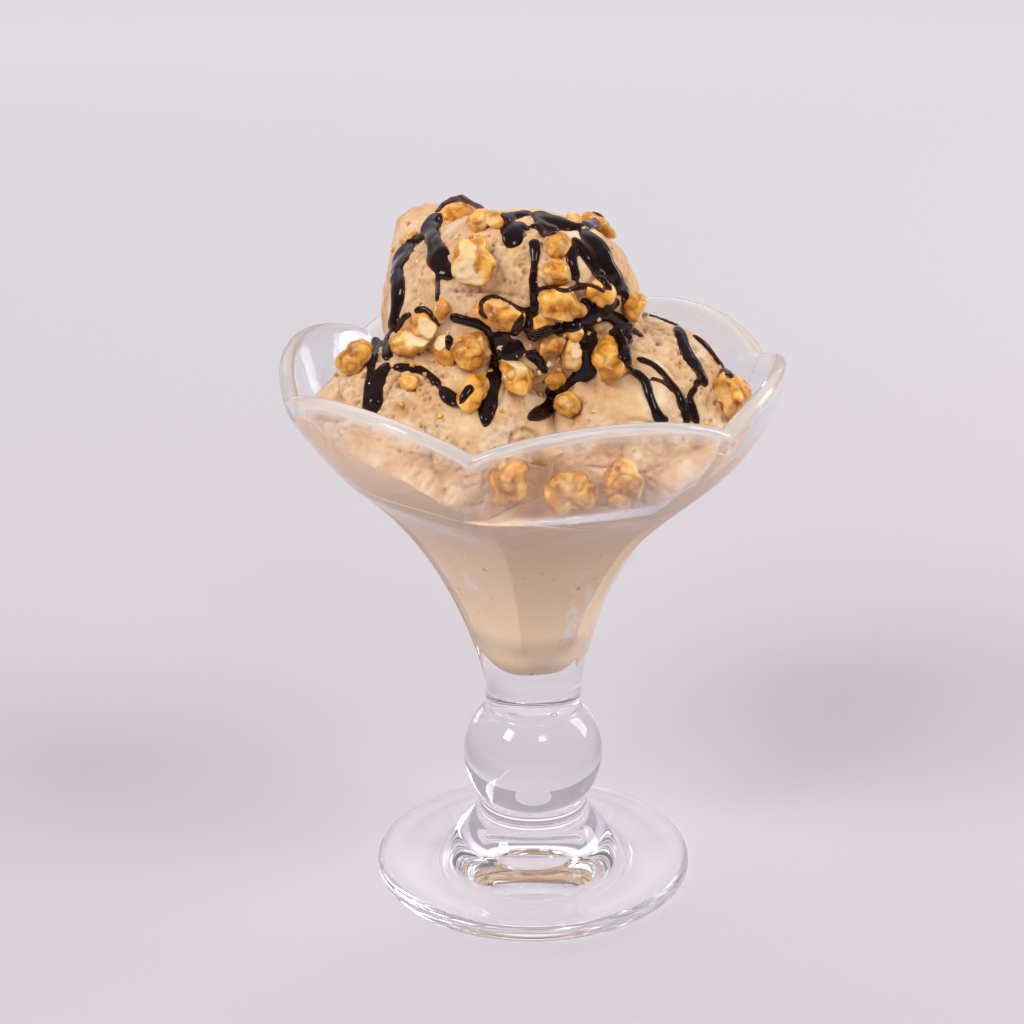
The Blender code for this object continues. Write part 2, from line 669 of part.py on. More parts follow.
def boolean(item, operation, others):
    """Apply one Boolean with a collection of closed shapes, and remove those shapes."""
    group = bpy.data.collections.new("operands")
    bpy.context.scene.collection.children.link(group)
    for other in others:
        for owner in list(other.users_collection):
            owner.objects.unlink(other)
        group.objects.link(other)
    modifier = item.modifiers.new("join", "BOOLEAN")
    modifier.operation = operation
    modifier.operand_type = "COLLECTION"
    modifier.collection = group
    modifier.solver = "EXACT"
    bpy.context.view_layer.update()
    graph = bpy.context.evaluated_depsgraph_get()
    result = bpy.data.meshes.new_from_object(item.evaluated_get(graph))
    item.modifiers.clear()
    item.data = result
    for other in others:
        bpy.data.objects.remove(other, do_unlink=True)
    bpy.data.collections.remove(group)


def keep_largest(item):
    """Triangulate, merge needless points and drop all but the largest closed piece."""
    shape = bmesh.new()
    shape.from_mesh(item.data)
    bmesh.ops.remove_doubles(shape, verts=shape.verts, dist=WELD)
    bmesh.ops.dissolve_degenerate(shape, dist=WELD, edges=shape.edges)
    bmesh.ops.triangulate(shape, faces=shape.faces)
    left = set(shape.verts)
    pieces = []
    while left:
        queue = [left.pop()]
        piece = set(queue)
        while queue:
            for edge in queue.pop().link_edges:
                for vertex in edge.verts:
                    if vertex in left:
                        left.remove(vertex)
                        piece.add(vertex)
                        queue.append(vertex)
        pieces.append(piece)
    pieces.sort(key=len)
    for piece in pieces[:-1]:
        bmesh.ops.delete(shape, geom=list(piece), context="VERTS")
    shape.to_mesh(item.data)
    shape.free()
    item.data.shade_smooth()
    item.data.set_sharp_from_angle(angle=SHARP_ANGLE)


def make_scoops(ice_cream, sauce):
    """The scoops with their thick runs of sauce, each one gap clear of the others."""
    for order, scoop in enumerate(SCOOPS):
        item = make_lump(scoop, 0.0, scoop.name, ice_cream)
        boolean(item, "INTERSECT", [make_bowl_room(ice_cream)])
        earlier = [make_lump(other, GAP, "neighbour", ice_cream) for other in SCOOPS[:order]]
        boolean(item, "DIFFERENCE", earlier + [make_filling_space(ice_cream)])
        keep_largest(item)
        runs = [
            make_strand("run_of_sauce", strand, 0.0, sauce)
            for strand in STRANDS if strand.scoop == scoop.name
        ]
        for run in runs:
            others = [
                make_lump(other, GAP, "neighbour", ice_cream)
                for other in SCOOPS if other.name != scoop.name
            ]
            boolean(run, "DIFFERENCE", others)
            boolean(run, "INTERSECT", [make_bowl_room(ice_cream)])
            keep_largest(run)
        boolean(item, "UNION", runs)
        keep_largest(item)


def make_walnuts(material):
    """Walnut pieces, each hollowed where it beds on the ice cream, the sauce and its neighbours."""
    layout = walnut_layout()
    paths = [strand_path(strand)[0] for strand in STRANDS]
    for number, (name, centre, along, out, size, seed) in enumerate(layout):
        item = place_walnut(name, centre, along, out, size, seed, 0.0, material)
        cutters = []
        for scoop in SCOOPS:
            offset = np.linalg.norm(centre - np.asarray(scoop.centre))
            if offset < 1.25 * max(scoop.half_size) + size[0]:
                cutters.append(make_lump(scoop, GAP, "bed", material))
        for other in layout[:number]:
            if np.linalg.norm(centre - other[1]) < 0.75 * (size[0] + other[4][0]):
                cutters.append(place_walnut("neighbour", *other[1:], GAP, material))
        for strand, path in zip(STRANDS, paths):
            if np.linalg.norm(path - centre, axis=1).min() < size[0] + strand.width:
                cutters.append(make_strand("bed", strand, GAP, material))
        boolean(item, "DIFFERENCE", cutters)
        boolean(item, "INTERSECT", [make_bowl_room(material)])
        keep_largest(item)


def main():
    """Build every piece of the sundae."""
    clear_scene()
    glass = make_material("clear_soda_glass", (0.93, 0.95, 0.95), 0.03, 1.0, 1.52)
    ice_cream = make_material("coffee_ice_cream", (0.62, 0.39, 0.22), 0.55)
    sauce = make_material("chocolate_sauce", (0.03, 0.012, 0.01), 0.15)
    walnut = make_material("walnut_kernel", (0.56, 0.30, 0.09), 0.45)
    make_glass(glass)
    make_filling(ice_cream)
    make_scoops(ice_cream, sauce)
    make_walnuts(walnut)


main()
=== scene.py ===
"""Looks of the ice cream sundae: pressed-glass dish, coffee ice cream, walnut pieces, chocolate sauce.

Every length is in millimetres until make_piece turns it to metres, but for the studio, which is in
metres. +Z is up and the front is -Y.
"""

import logging
import math
from dataclasses import dataclass, field
from enum import Enum
from functools import cached_property
from typing import Any

import bpy
import numpy as np
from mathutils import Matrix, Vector
from mathutils.bvhtree import BVHTree


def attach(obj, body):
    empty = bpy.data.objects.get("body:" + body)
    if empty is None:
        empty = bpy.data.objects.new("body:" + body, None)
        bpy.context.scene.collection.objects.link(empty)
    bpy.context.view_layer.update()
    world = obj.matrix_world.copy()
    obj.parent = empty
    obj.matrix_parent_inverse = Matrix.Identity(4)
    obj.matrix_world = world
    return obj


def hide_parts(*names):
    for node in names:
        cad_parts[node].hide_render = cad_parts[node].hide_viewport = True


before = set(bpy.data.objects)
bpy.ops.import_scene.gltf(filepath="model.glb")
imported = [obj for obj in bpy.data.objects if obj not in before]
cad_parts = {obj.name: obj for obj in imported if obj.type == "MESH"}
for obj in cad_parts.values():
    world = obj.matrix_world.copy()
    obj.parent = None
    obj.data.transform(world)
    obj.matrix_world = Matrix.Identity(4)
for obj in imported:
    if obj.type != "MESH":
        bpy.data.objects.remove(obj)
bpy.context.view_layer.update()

Triple = tuple[float, float, float]
Profile = tuple[tuple[float, float], ...]

MM = 0.001
LOG = logging.getLogger("sundae")

# The hash of a lattice cell: large primes, two mixing factors with their shifts, and bit masks.
CELL_PRIMES = (73856093, 19349663, 83492791)
SEED_PRIME = 2654435761
MIXES = ((15, 2246822519), (13, 3266489917))
LOW_32_BITS = 0xFFFFFFFF
LOW_24_BITS = 0xFFFFFF

# Numbered sockets of a Mix node for colours: its share, the colour under and over, and the result.
SHARE, UNDER, OVER, MIXED = 0, 6, 7, 2
# Numbered inputs of a Math node that multiplies and adds.
VALUE, TIMES, PLUS = 0, 1, 2

# Places of a unit ball that agree to this part of its radius are one place.
SAME_PLACE = 1e-6
# Fewest and most radians that a sine wave of lumps turns over one ball radius.
WAVE_RANGE = (2.0, 6.5)
# Fewer than this many places make no run of sauce.
FEWEST_PLACES = 3


class Side(Enum):
    """From where a topping is laid out: the front view, or the same view from behind."""

    FRONT = 1.0
    BEHIND = -1.0


# Helpers for colours, nodes and meshes.


def linear(hex_colour: str) -> tuple[float, float, float, float]:
    """Turns an sRGB hex colour to linear light.

    Args:
        hex_colour: six hex digits, with or without a hash.

    Returns:
        Linear red, green, blue and an alpha of 1.
    """
    digits = hex_colour.lstrip("#")
    parts = [int(digits[i : i + 2], 16) / 255.0 for i in (0, 2, 4)]
    light = [p / 12.92 if p <= 0.04045 else ((p + 0.055) / 1.055) ** 2.4 for p in parts]
    return (*light, 1.0)


def connect(tree: Any, node: Any, links: dict) -> None:
    """Feeds a node's inputs, by name or number, from the sockets given for them."""
    for key, socket in links.items():
        tree.links.new(socket, node.inputs[key])


def add_node(tree: Any, kind: str, settings: dict | None = None, links: dict | None = None) -> Any:
    """Adds one node with its settings and links.

    Args:
        tree: node tree that takes the node.
        kind: Blender's name of the node type.
        settings: attribute names of the node, or names or numbers of its inputs, with their values.
        links: names or numbers of its inputs, with the sockets that feed them.

    Returns:
        The new node.
    """
    node = tree.nodes.new(kind)
    for key, value in (settings or {}).items():
        if isinstance(key, str) and key in node.bl_rna.properties:
            setattr(node, key, value)
        else:
            node.inputs[key].default_value = value
    connect(tree, node, links or {})
    return node


def ramp(tree: Any, factor: Any, stops: Any) -> Any:
    """Adds a colour ramp.

    Args:
        tree: node tree that takes it.
        factor: socket that drives it.
        stops: places along it with their sRGB hex colours, in rising order.

    Returns:
        Its colour socket.
    """
    stops = list(stops)
    node = add_node(tree, "ShaderNodeValToRGB", links={"Fac": factor})
    elements = node.color_ramp.elements
    for _ in range(len(stops) - 2):
        elements.new(0.5)
    for element, (place, colour) in zip(elements, stops):
        element.position = place
        element.color = linear(colour)
    return node.outputs["Color"]


def new_material(name: str, settings: dict[str, Any]) -> tuple[Any, Any, Any, Any]:
    """Makes a material with one Principled shader.

    Args:
        name: name of the real material and how it was made.
        settings: names of the shader's inputs with their values.

    Returns:
        The material, its node tree, the shader and the socket of its Object coordinates.
    """
    material = bpy.data.materials.new(name)
    material.use_nodes = True
    tree = material.node_tree
    shader = tree.nodes["Principled BSDF"]
    for key, value in settings.items():
        shader.inputs[key].default_value = value
    return material, tree, shader, add_node(tree, "ShaderNodeTexCoord").outputs["Object"]


def make_piece(
    name: str,
    points: np.ndarray,
    faces: list,
    material: Any,
    replaced: tuple[str, ...] = (),
    attributes: dict[str, np.ndarray] | None = None,
) -> Any:
    """Makes a smooth-shaded piece that rides on the one body.

    Args:
        name: name of the piece.
        points: its points in millimetres, one row each.
        faces: rows of point numbers, outwards.
        material: its material.
        replaced: nodes that it stands for.
        attributes: numbers at each point that the material reads, by name.

    Returns:
        The object.
    """
    mesh = bpy.data.meshes.new(name)
    mesh.from_pydata(np.zeros((len(points), 3)), [], faces)
    mesh.vertices.foreach_set("co", (points * MM).astype(np.float32).ravel())
    for key, values in (attributes or {}).items():
        layer = mesh.attributes.new(key, "FLOAT", "POINT")
        layer.data.foreach_set("value", values.astype(np.float32))
    mesh.update()
    mesh.shade_smooth()
    mesh.materials.append(material)
    piece = bpy.data.objects.new(name, mesh)
    bpy.context.collection.objects.link(piece)
    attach(piece, "root")
    if replaced:
        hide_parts(*replaced)
    LOG.info("%s: %d points", name, len(points))
    return piece


# Shapes as functions.


def hash_unit(cells: np.ndarray, seed: int) -> np.ndarray:
    """Repeatable random numbers, one for each whole-numbered cell.

    The cell's three numbers and the seed are multiplied by large primes and joined by exclusive or.
    The result is twice folded on itself and multiplied, and its last 24 bits are the number.

    Args:
        cells: three whole numbers in each row.
        seed: number that gives another set.

    Returns:
        A number from 0 to 1 for each row.
    """
    whole = cells.astype(np.int64)
    mixed = seed * SEED_PRIME
    for axis, prime in enumerate(CELL_PRIMES):
        mixed = mixed ^ whole[..., axis] * prime
    for shift, factor in MIXES:
        mixed = (mixed ^ mixed >> shift) * factor & LOW_32_BITS
    return ((mixed ^ mixed >> 16) & LOW_24_BITS) / float(LOW_24_BITS + 1)


def value_noise(points: np.ndarray, cell: float, seed: int) -> np.ndarray:
    """Smooth noise from -1 to 1: random values on a cubic lattice, blended by a smooth step.

    Args:
        points: places in millimetres.
        cell: edge of the lattice in millimetres.
        seed: seed of its values.

    Returns:
        One value for each point.
    """
    scaled = points / cell
    base = np.floor(scaled)
    t = scaled - base
    t = t * t * (3.0 - 2.0 * t)
    total = np.zeros(len(points))
    for corner in np.ndindex(2, 2, 2):
        weight = np.prod(np.where(np.array(corner) == 1, t, 1.0 - t), axis=1)
        total += weight * hash_unit(base + np.array(corner), seed)
    return 2.0 * total - 1.0


def pits(points: np.ndarray, cell: float, reach: float, share: float, seed: int) -> np.ndarray:
    """Round pits at random places: 1 in the middle of a pit, falling as a parabola to 0 at its edge.

    Args:
        points: places in millimetres.
        cell: edge in millimetres of the lattice that holds at most one pit a cell.
        reach: a pit's largest radius as a share of the cell. The smallest is half of it.
        share: share of the cells that hold a pit.
        seed: seed of their places.

    Returns:
        One value for each point.
    """
    scaled = points / cell
    base = np.floor(scaled)
    deepest = np.zeros(len(points))
    for step in np.ndindex(3, 3, 3):
        home = base + np.array(step) - 1.0
        centre = home + np.stack([hash_unit(home, seed + k) for k in (1, 2, 3)], axis=1)
        size = reach * (0.5 + 0.5 * hash_unit(home, seed + 4))
        apart = np.linalg.norm(scaled - centre, axis=1) / size
        depth = np.clip(1.0 - apart**2, 0.0, 1.0) * (hash_unit(home, seed) < share)
        deepest = np.maximum(deepest, depth)
    return deepest


def bell(directions: np.ndarray, way: Triple, spread: float) -> np.ndarray:
    """Bell curve of the angle between each direction and a way, exp(-(angle / spread)^2).

    Args:
        directions: unit vectors, one row each.
        way: direction of the curve's middle, of any length.
        spread: its spread in radians.

    Returns:
        One value from 0 to 1 for each direction.
    """
    middle = np.asarray(way) / np.linalg.norm(way)
    angle = np.arccos(np.clip(directions @ middle, -1.0, 1.0))
    return np.exp(-((angle / spread) ** 2))


def ball_grid(count: int) -> tuple[np.ndarray, np.ndarray]:
    """Unit directions and quads of a closed ball: six square grids bulged out to a sphere.

    A grid place (u, v) from -1 to 1 goes to the direction (tan(u 45 deg), tan(v 45 deg), 1), turned
    to each side of a cube and brought to length one. Places that two sides share are merged.

    Args:
        count: quads along each edge of the cube.

    Returns:
        Directions, one row each, and quads of their numbers, outwards.
    """
    line = np.tan(np.linspace(-1.0, 1.0, count + 1) * math.pi / 4.0)
    u, v = np.meshgrid(line, line, indexing="ij")
    one = np.ones_like(u)
    sides = [
        (one, u, v), (-one, v, u), (v, one, u), (u, -one, v), (u, v, one), (v, u, -one),
    ]
    points = np.concatenate([np.stack(side, axis=-1).reshape(-1, 3) for side in sides])
    points /= np.linalg.norm(points, axis=1)[:, None]
    i, j = np.meshgrid(np.arange(count), np.arange(count), indexing="ij")
    corner = (i * (count + 1) + j).ravel()
    quad = np.stack((corner, corner + count + 1, corner + count + 2, corner + 1), axis=1)
    quads = np.concatenate([quad + side * (count + 1) ** 2 for side in range(6)])
    keys = np.round(points / SAME_PLACE).astype(np.int64)
    _, first, merged = np.unique(keys, axis=0, return_index=True, return_inverse=True)
    return points[first], merged.reshape(-1)[quads]


def rings_skin(rings: np.ndarray, bottom: np.ndarray, top: np.ndarray) -> tuple[np.ndarray, list]:
    """Closed skin over rings that run upwards, each counter-clockwise, with a fan at either end.

    Args:
        rings: ring number, place round it, coordinates.
        bottom: point that closes the lower end.
        top: point that closes the upper end.

    Returns:
        Points, and outward faces as a list.
    """
    count, around = rings.shape[:2]
    ring, place = np.meshgrid(np.arange(count - 1), np.arange(around), indexing="ij")
    after = (place + 1) % around
    low, high = ring * around, (ring + 1) * around
    quads = np.stack((low + place, low + after, high + after, high + place), axis=-1).reshape(-1, 4)
    here = np.arange(around)
    beyond = (here + 1) % around
    last, under, over = (count - 1) * around, count * around, count * around + 1
    low_fan = np.stack((np.full(around, under), beyond, here), axis=1)
    high_fan = np.stack((np.full(around, over), last + here, last + beyond), axis=1)
    points = np.concatenate((rings.reshape(-1, 3), [bottom], [top]))
    return points, quads.tolist() + low_fan.tolist() + high_fan.tolist()


def curve_through(knots: Any, count: int) -> np.ndarray:
    """Evenly spaced points on a smooth curve, a cubic Hermite by arc length.

    Args:
        knots: places that the curve passes, one row each.
        count: points wanted.

    Returns:
        The points, one row each.
    """
    knots = np.asarray(knots, dtype=float)
    length = np.concatenate(([0.0], np.cumsum(np.linalg.norm(np.diff(knots, axis=0), axis=1))))
    slope = np.gradient(knots, length, axis=0)
    at = np.linspace(0.0, length[-1], count)
    span = np.clip(np.searchsorted(length, at, side="right") - 1, 0, len(knots) - 2)
    step = (length[span + 1] - length[span])[:, None]
    t = (at - length[span])[:, None] / step
    start = (2 * t**3 - 3 * t**2 + 1) * knots[span] + (t**3 - 2 * t**2 + t) * step * slope[span]
    end = (3 * t**2 - 2 * t**3) * knots[span + 1] + (t**3 - t**2) * step * slope[span + 1]
    return start + end


def lumps(directions: np.ndarray, seed: int, waves: int) -> np.ndarray:
    """Smooth unevenness between about -1 and 1: sine waves in seeded random directions.

    Args:
        directions: unit vectors, one row each.
        seed: seed of the waves.
        waves: how many are added up. Their sum is divided by the square root of it.

    Returns:
        One value for each direction.
    """
    draw = np.random.default_rng(seed)
    total = np.zeros(len(directions))
    for _ in range(waves):
        axis = draw.normal(size=3)
        axis *= draw.uniform(*WAVE_RANGE) / np.linalg.norm(axis)
        total += np.sin(directions @ axis + draw.uniform(0.0, 2.0 * math.pi))
    return total / math.sqrt(waves)


# Finishes.


@dataclass(frozen=True)
class PressedSodaGlass:
    """Clear soda-lime glass, pressed in a mould and fire polished.

    The polish gives hard, bright highlights, and the waves that the mould left bend them a little.
    The thick round rim gathers so much light that it reads as a pale bead, so it is drawn half cloudy
    there as a painted highlight.
    """

    tint: str = "#F7F6F8"
    ior: float = 1.5
    roughness: float = 0.0
    # Share of light that the bead lets through; the rest is a pale painted highlight.
    rim_highlight_clear: float = 0.68
    wave_mm: float = 9.0
    wave_depth_mm: float = 0.05
    wave_strength: float = 0.35

    def make(self) -> Any:
        """Makes the material: clear, cloudier by the attribute rim as a painted highlight, its surface
        faintly waved.

        Returns:
            The material.
        """
        material, tree, shader, place = new_material(
            "soda_lime_glass_pressed_and_fire_polished",
            {"Base Color": linear(self.tint), "Roughness": self.roughness, "IOR": self.ior},
        )
        rim = add_node(tree, "ShaderNodeAttribute", {"attribute_name": "rim"})
        # Painted highlight: the bead is drawn half cloudy in the pale tint.
        clear = add_node(
            tree, "ShaderNodeMapRange", {"To Min": 1.0, "To Max": self.rim_highlight_clear},
            {"Value": rim.outputs["Fac"]},
        )
        wave = add_node(
            tree, "ShaderNodeTexNoise",
            {"Scale": 1.0 / (self.wave_mm * MM), "Detail": 1.0, "Roughness": 0.4}, {"Vector": place},
        )
        bump = add_node(
            tree, "ShaderNodeBump",
            {"Strength": self.wave_strength, "Distance": self.wave_depth_mm * MM},
            {"Height": wave.outputs["Fac"]},
        )
        connect(tree, shader, {"Transmission Weight": clear.outputs[0], "Normal": bump.outputs["Normal"]})
        return material


@dataclass(frozen=True)
class CoffeeIceCream:
    """Churned coffee ice cream: fat, milk and air, full of fine bubbles.

    It looks matt and soft, with light that goes a little way in, a grain of crystals that glints
    slightly, and painted shade in its pits and cracks. Against the glass it is smooth and even, with
    patches of frost, and drawn paler as painted light.
    """

    pale: str = "#EBD0B4"
    body: str = "#E1B88E"
    deep: str = "#CB9B68"
    # Painted shade: the pit colours, laid in pits, cracks and bubbles by the attribute hollow.
    pit: str = "#8C5424"
    frost: str = "#FBF1EC"
    # Painted light: paler on the glass, for the light that the glass keeps off the ice cream.
    pressed: str = "#FEDCBC"
    pressed_pit_shade: str = "#C8946A"
    patch_stops: Triple = (0.3, 0.5, 0.68)
    patch_mm: float = 7.0
    grain_mm: float = 0.7
    crystal_mm: float = 1.5
    crystal_share: float = 0.6
    relief_mm: float = 0.25
    shine: tuple[float, float] = (0.42, 0.62)
    ior: float = 1.36
    scatter: float = 0.35
    scatter_radius: Triple = (1.0, 0.62, 0.36)
    scatter_mm: float = 1.6

    def make(self, name: str, grain: float) -> Any:
        """Makes the material.

        The attribute hollow paints shade into pits, cracks and bubbles, touching marks what lies on the
        glass, which is drawn paler as painted light, and frost whitens that.

        Args:
            name: name of the material.
            grain: strength of its fine grain, from 0 to 1.

        Returns:
            The material.
        """
        material, tree, shader, place = new_material(
            name,
            {
                "IOR": self.ior, "Subsurface Weight": self.scatter,
                "Subsurface Radius": self.scatter_radius, "Subsurface Scale": self.scatter_mm * MM,
            },
        )
        hollow, frost, touching = (
            add_node(tree, "ShaderNodeAttribute", {"attribute_name": key}).outputs["Fac"]
            for key in ("hollow", "frost", "touching")
        )
        patches = add_node(
            tree, "ShaderNodeTexNoise",
            {"Scale": 1.0 / (self.patch_mm * MM), "Detail": 5.0, "Roughness": 0.6}, {"Vector": place},
        )
        colour = ramp(
            tree, patches.outputs["Fac"], zip(self.patch_stops, (self.deep, self.body, self.pale))
        )
        # Painted shade in the pits and cracks, by the attribute hollow.
        scooped = add_node(
            tree, "ShaderNodeMix", {"data_type": "RGBA", OVER: linear(self.pit)},
            {SHARE: hollow, UNDER: colour},
        )
        # Painted light on the glass: paler colours, with painted shade in bubbles and pits.
        lightened_on_glass = add_node(
            tree, "ShaderNodeMix",
            {"data_type": "RGBA", UNDER: linear(self.pressed), OVER: linear(self.pressed_pit_shade)},
            {SHARE: hollow},
        )
        frosted = add_node(
            tree, "ShaderNodeMix", {"data_type": "RGBA", OVER: linear(self.frost)},
            {SHARE: frost, UNDER: lightened_on_glass.outputs[MIXED]},
        )
        final = add_node(
            tree, "ShaderNodeMix", {"data_type": "RGBA"},
            {SHARE: touching, UNDER: scooped.outputs[MIXED], OVER: frosted.outputs[MIXED]},
        )
        grains = add_node(
            tree, "ShaderNodeTexNoise",
            {"Scale": 1.0 / (self.grain_mm * MM), "Detail": 3.0, "Roughness": 0.7}, {"Vector": place},
        )
        crystals = add_node(
            tree, "ShaderNodeTexVoronoi", {"Scale": 1.0 / (self.crystal_mm * MM)}, {"Vector": place}
        )
        height = add_node(
            tree, "ShaderNodeMath", {"operation": "MULTIPLY_ADD", TIMES: self.crystal_share},
            {VALUE: crystals.outputs["Distance"], PLUS: grains.outputs["Fac"]},
        )
        bump = add_node(
            tree, "ShaderNodeBump", {"Strength": grain, "Distance": self.relief_mm * MM},
            {"Height": height.outputs[0]},
        )
        shine = add_node(
            tree, "ShaderNodeMapRange", {"To Min": self.shine[0], "To Max": self.shine[1]},
            {"Value": grains.outputs["Fac"]},
        )
        connect(
            tree, shader,
            {
                "Base Color": final.outputs[MIXED], "Roughness": shine.outputs[0],
                "Normal": bump.outputs["Normal"],
            },
        )
        return material


@dataclass(frozen=True)
class ChocolateSauce:
    """Chocolate sauce, poured warm and set glossy.

    It is nearly black with sharp wet highlights, and shows its red-brown only at thin edges.
    """

    dark: str = "#160A08"
    drifted: str = "#2A110C"
    thin: str = "#5A2413"
    roughness: float = 0.09
    ior: float = 1.42
    drift_mm: float = 2.6
    drift_stops: tuple[float, float] = (0.45, 0.8)
    relief_mm: float = 0.15
    relief_strength: float = 0.2

    def make(self) -> Any:
        """Makes the material: a dark wet surface, redder by the attribute that marks thin edges.

        Returns:
            The material.
        """
        material, tree, shader, place = new_material(
            "chocolate_sauce_poured", {"Roughness": self.roughness, "IOR": self.ior}
        )
        drift = add_node(
            tree, "ShaderNodeTexNoise", {"Scale": 1.0 / (self.drift_mm * MM), "Detail": 2.0},
            {"Vector": place},
        )
        colour = ramp(tree, drift.outputs["Fac"], zip(self.drift_stops, (self.dark, self.drifted)))
        thin = add_node(tree, "ShaderNodeAttribute", {"attribute_name": "thin"})
        mixed = add_node(
            tree, "ShaderNodeMix", {"data_type": "RGBA", OVER: linear(self.thin)},
            {SHARE: thin.outputs["Fac"], UNDER: colour},
        )
        bump = add_node(
            tree, "ShaderNodeBump",
            {"Strength": self.relief_strength, "Distance": self.relief_mm * MM},
            {"Height": drift.outputs["Fac"]},
        )
        connect(tree, shader, {"Base Color": mixed.outputs[MIXED], "Normal": bump.outputs["Normal"]})
        return material


@dataclass(frozen=True)
class WalnutKernel:
    """Shelled walnut, chopped: golden papery skin with fine veins, and cream flesh where it broke.

    The skin has a thin natural oil that gives broad soft highlights. It is worn pale in patches and
    has painted shade in its grooves, and the broken faces are duller and lighter.
    """

    bright: str = "#F2BC60"
    skin: str = "#E0973A"
    vein_and_groove_shade: str = "#8C4C10"
    worn: str = "#F6D298"
    flesh: str = "#F3D3A4"
    patch_mm: float = 3.2
    patch_stops: Triple = (0.3, 0.47, 0.64)
    wear_mm: float = 5.5
    wear_range: tuple[float, float] = (0.54, 0.7)
    most_worn: float = 0.75
    vein_mm: float = 1.6
    vein_depth_mm: float = 0.2
    vein_strength: float = 0.35
    roughness: float = 0.24
    ior: float = 1.46
    scatter: float = 0.2
    scatter_radius: Triple = (1.0, 0.5, 0.2)
    scatter_mm: float = 0.8

    def make(self) -> Any:
        """Makes the material: an attribute paints shade into the skin's grooves, and bare marks broken
        faces.

        Returns:
            The material.
        """
        material, tree, shader, place = new_material(
            "walnut_kernel_broken",
            {
                "Roughness": self.roughness, "IOR": self.ior, "Subsurface Weight": self.scatter,
                "Subsurface Radius": self.scatter_radius, "Subsurface Scale": self.scatter_mm * MM,
            },
        )
        patches = add_node(
            tree, "ShaderNodeTexNoise",
            {"Scale": 1.0 / (self.patch_mm * MM), "Detail": 4.0, "Roughness": 0.6}, {"Vector": place},
        )
        colour = ramp(
            tree, patches.outputs["Fac"], zip(self.patch_stops, (self.vein_and_groove_shade, self.skin, self.bright))
        )
        wear = add_node(
            tree, "ShaderNodeTexNoise", {"Scale": 1.0 / (self.wear_mm * MM), "Detail": 2.0},
            {"Vector": place},
        )
        worn_share = add_node(
            tree, "ShaderNodeMapRange",
            {"From Min": self.wear_range[0], "From Max": self.wear_range[1], "To Max": self.most_worn},
            {"Value": wear.outputs["Fac"]},
        ).outputs[0]
        groove_shade, bare = (
            add_node(tree, "ShaderNodeAttribute", {"attribute_name": key}).outputs["Fac"]
            for key in ("groove_shade", "bare")
        )
        # Worn patches, painted shade in the grooves, and broken faces, in turn.
        for share, over in ((worn_share, self.worn), (groove_shade, self.vein_and_groove_shade), (bare, self.flesh)):
            colour = add_node(
                tree, "ShaderNodeMix", {"data_type": "RGBA", OVER: linear(over)},
                {SHARE: share, UNDER: colour},
            ).outputs[MIXED]
        veins = add_node(
            tree, "ShaderNodeTexNoise",
            {"Scale": 1.0 / (self.vein_mm * MM), "Detail": 3.0, "Roughness": 0.7}, {"Vector": place},
        )
        bump = add_node(
            tree, "ShaderNodeBump",
            {"Strength": self.vein_strength, "Distance": self.vein_depth_mm * MM},
            {"Height": veins.outputs["Fac"]},
        )
        connect(tree, shader, {"Base Color": colour, "Normal": bump.outputs["Normal"]})
        return material


@dataclass(frozen=True)
class StudioPaper:
    """Seamless background paper: flat, matt and faintly lavender, darker in front and paler
    towards the back as painted light and shade.

    The grain of real paper is too fine to show here, so it is drawn coarser and only breaks the
    change from near to far.
    """

    # Painted light and shade: darker in front, paler towards the back.
    near: str = "#C4BDC3"
    middle: str = "#C9C3C8"
    far: str = "#DDD8DD"
    stops: Triple = (0.0, 0.25, 1.0)
    depth_m: float = 1.2
    grain_mm: float = 50.0 / 3.0
    grain_share: float = 0.02
    roughness: float = 0.9
    specular: float = 0.1

    def make(self) -> Any:
        """Makes the material: a ramp of its colours over the depth of the floor, as painted light.

        Returns:
            The material.
        """
        material, tree, shader, place = new_material(
            "background_paper_matt",
            {"Roughness": self.roughness, "Specular IOR Level": self.specular},
        )
        grain = add_node(
            tree, "ShaderNodeTexNoise", {"Scale": 1.0 / (self.grain_mm * MM), "Detail": 2.0},
            {"Vector": place},
        )
        way = add_node(tree, "ShaderNodeSeparateXYZ", links={0: place})
        depth = add_node(
            tree, "ShaderNodeMath", {"operation": "MULTIPLY_ADD", TIMES: self.grain_share},
            {VALUE: grain.outputs["Fac"], PLUS: way.outputs["Y"]},
        )
        back = add_node(
            tree, "ShaderNodeMapRange", {"From Min": 0.0, "From Max": self.depth_m},
            {"Value": depth.outputs[0]},
        )
        colour = ramp(tree, back.outputs[0], zip(self.stops, (self.near, self.middle, self.far)))
        connect(tree, shader, {"Base Color": colour})
        return material


# The view in which toppings are laid out.


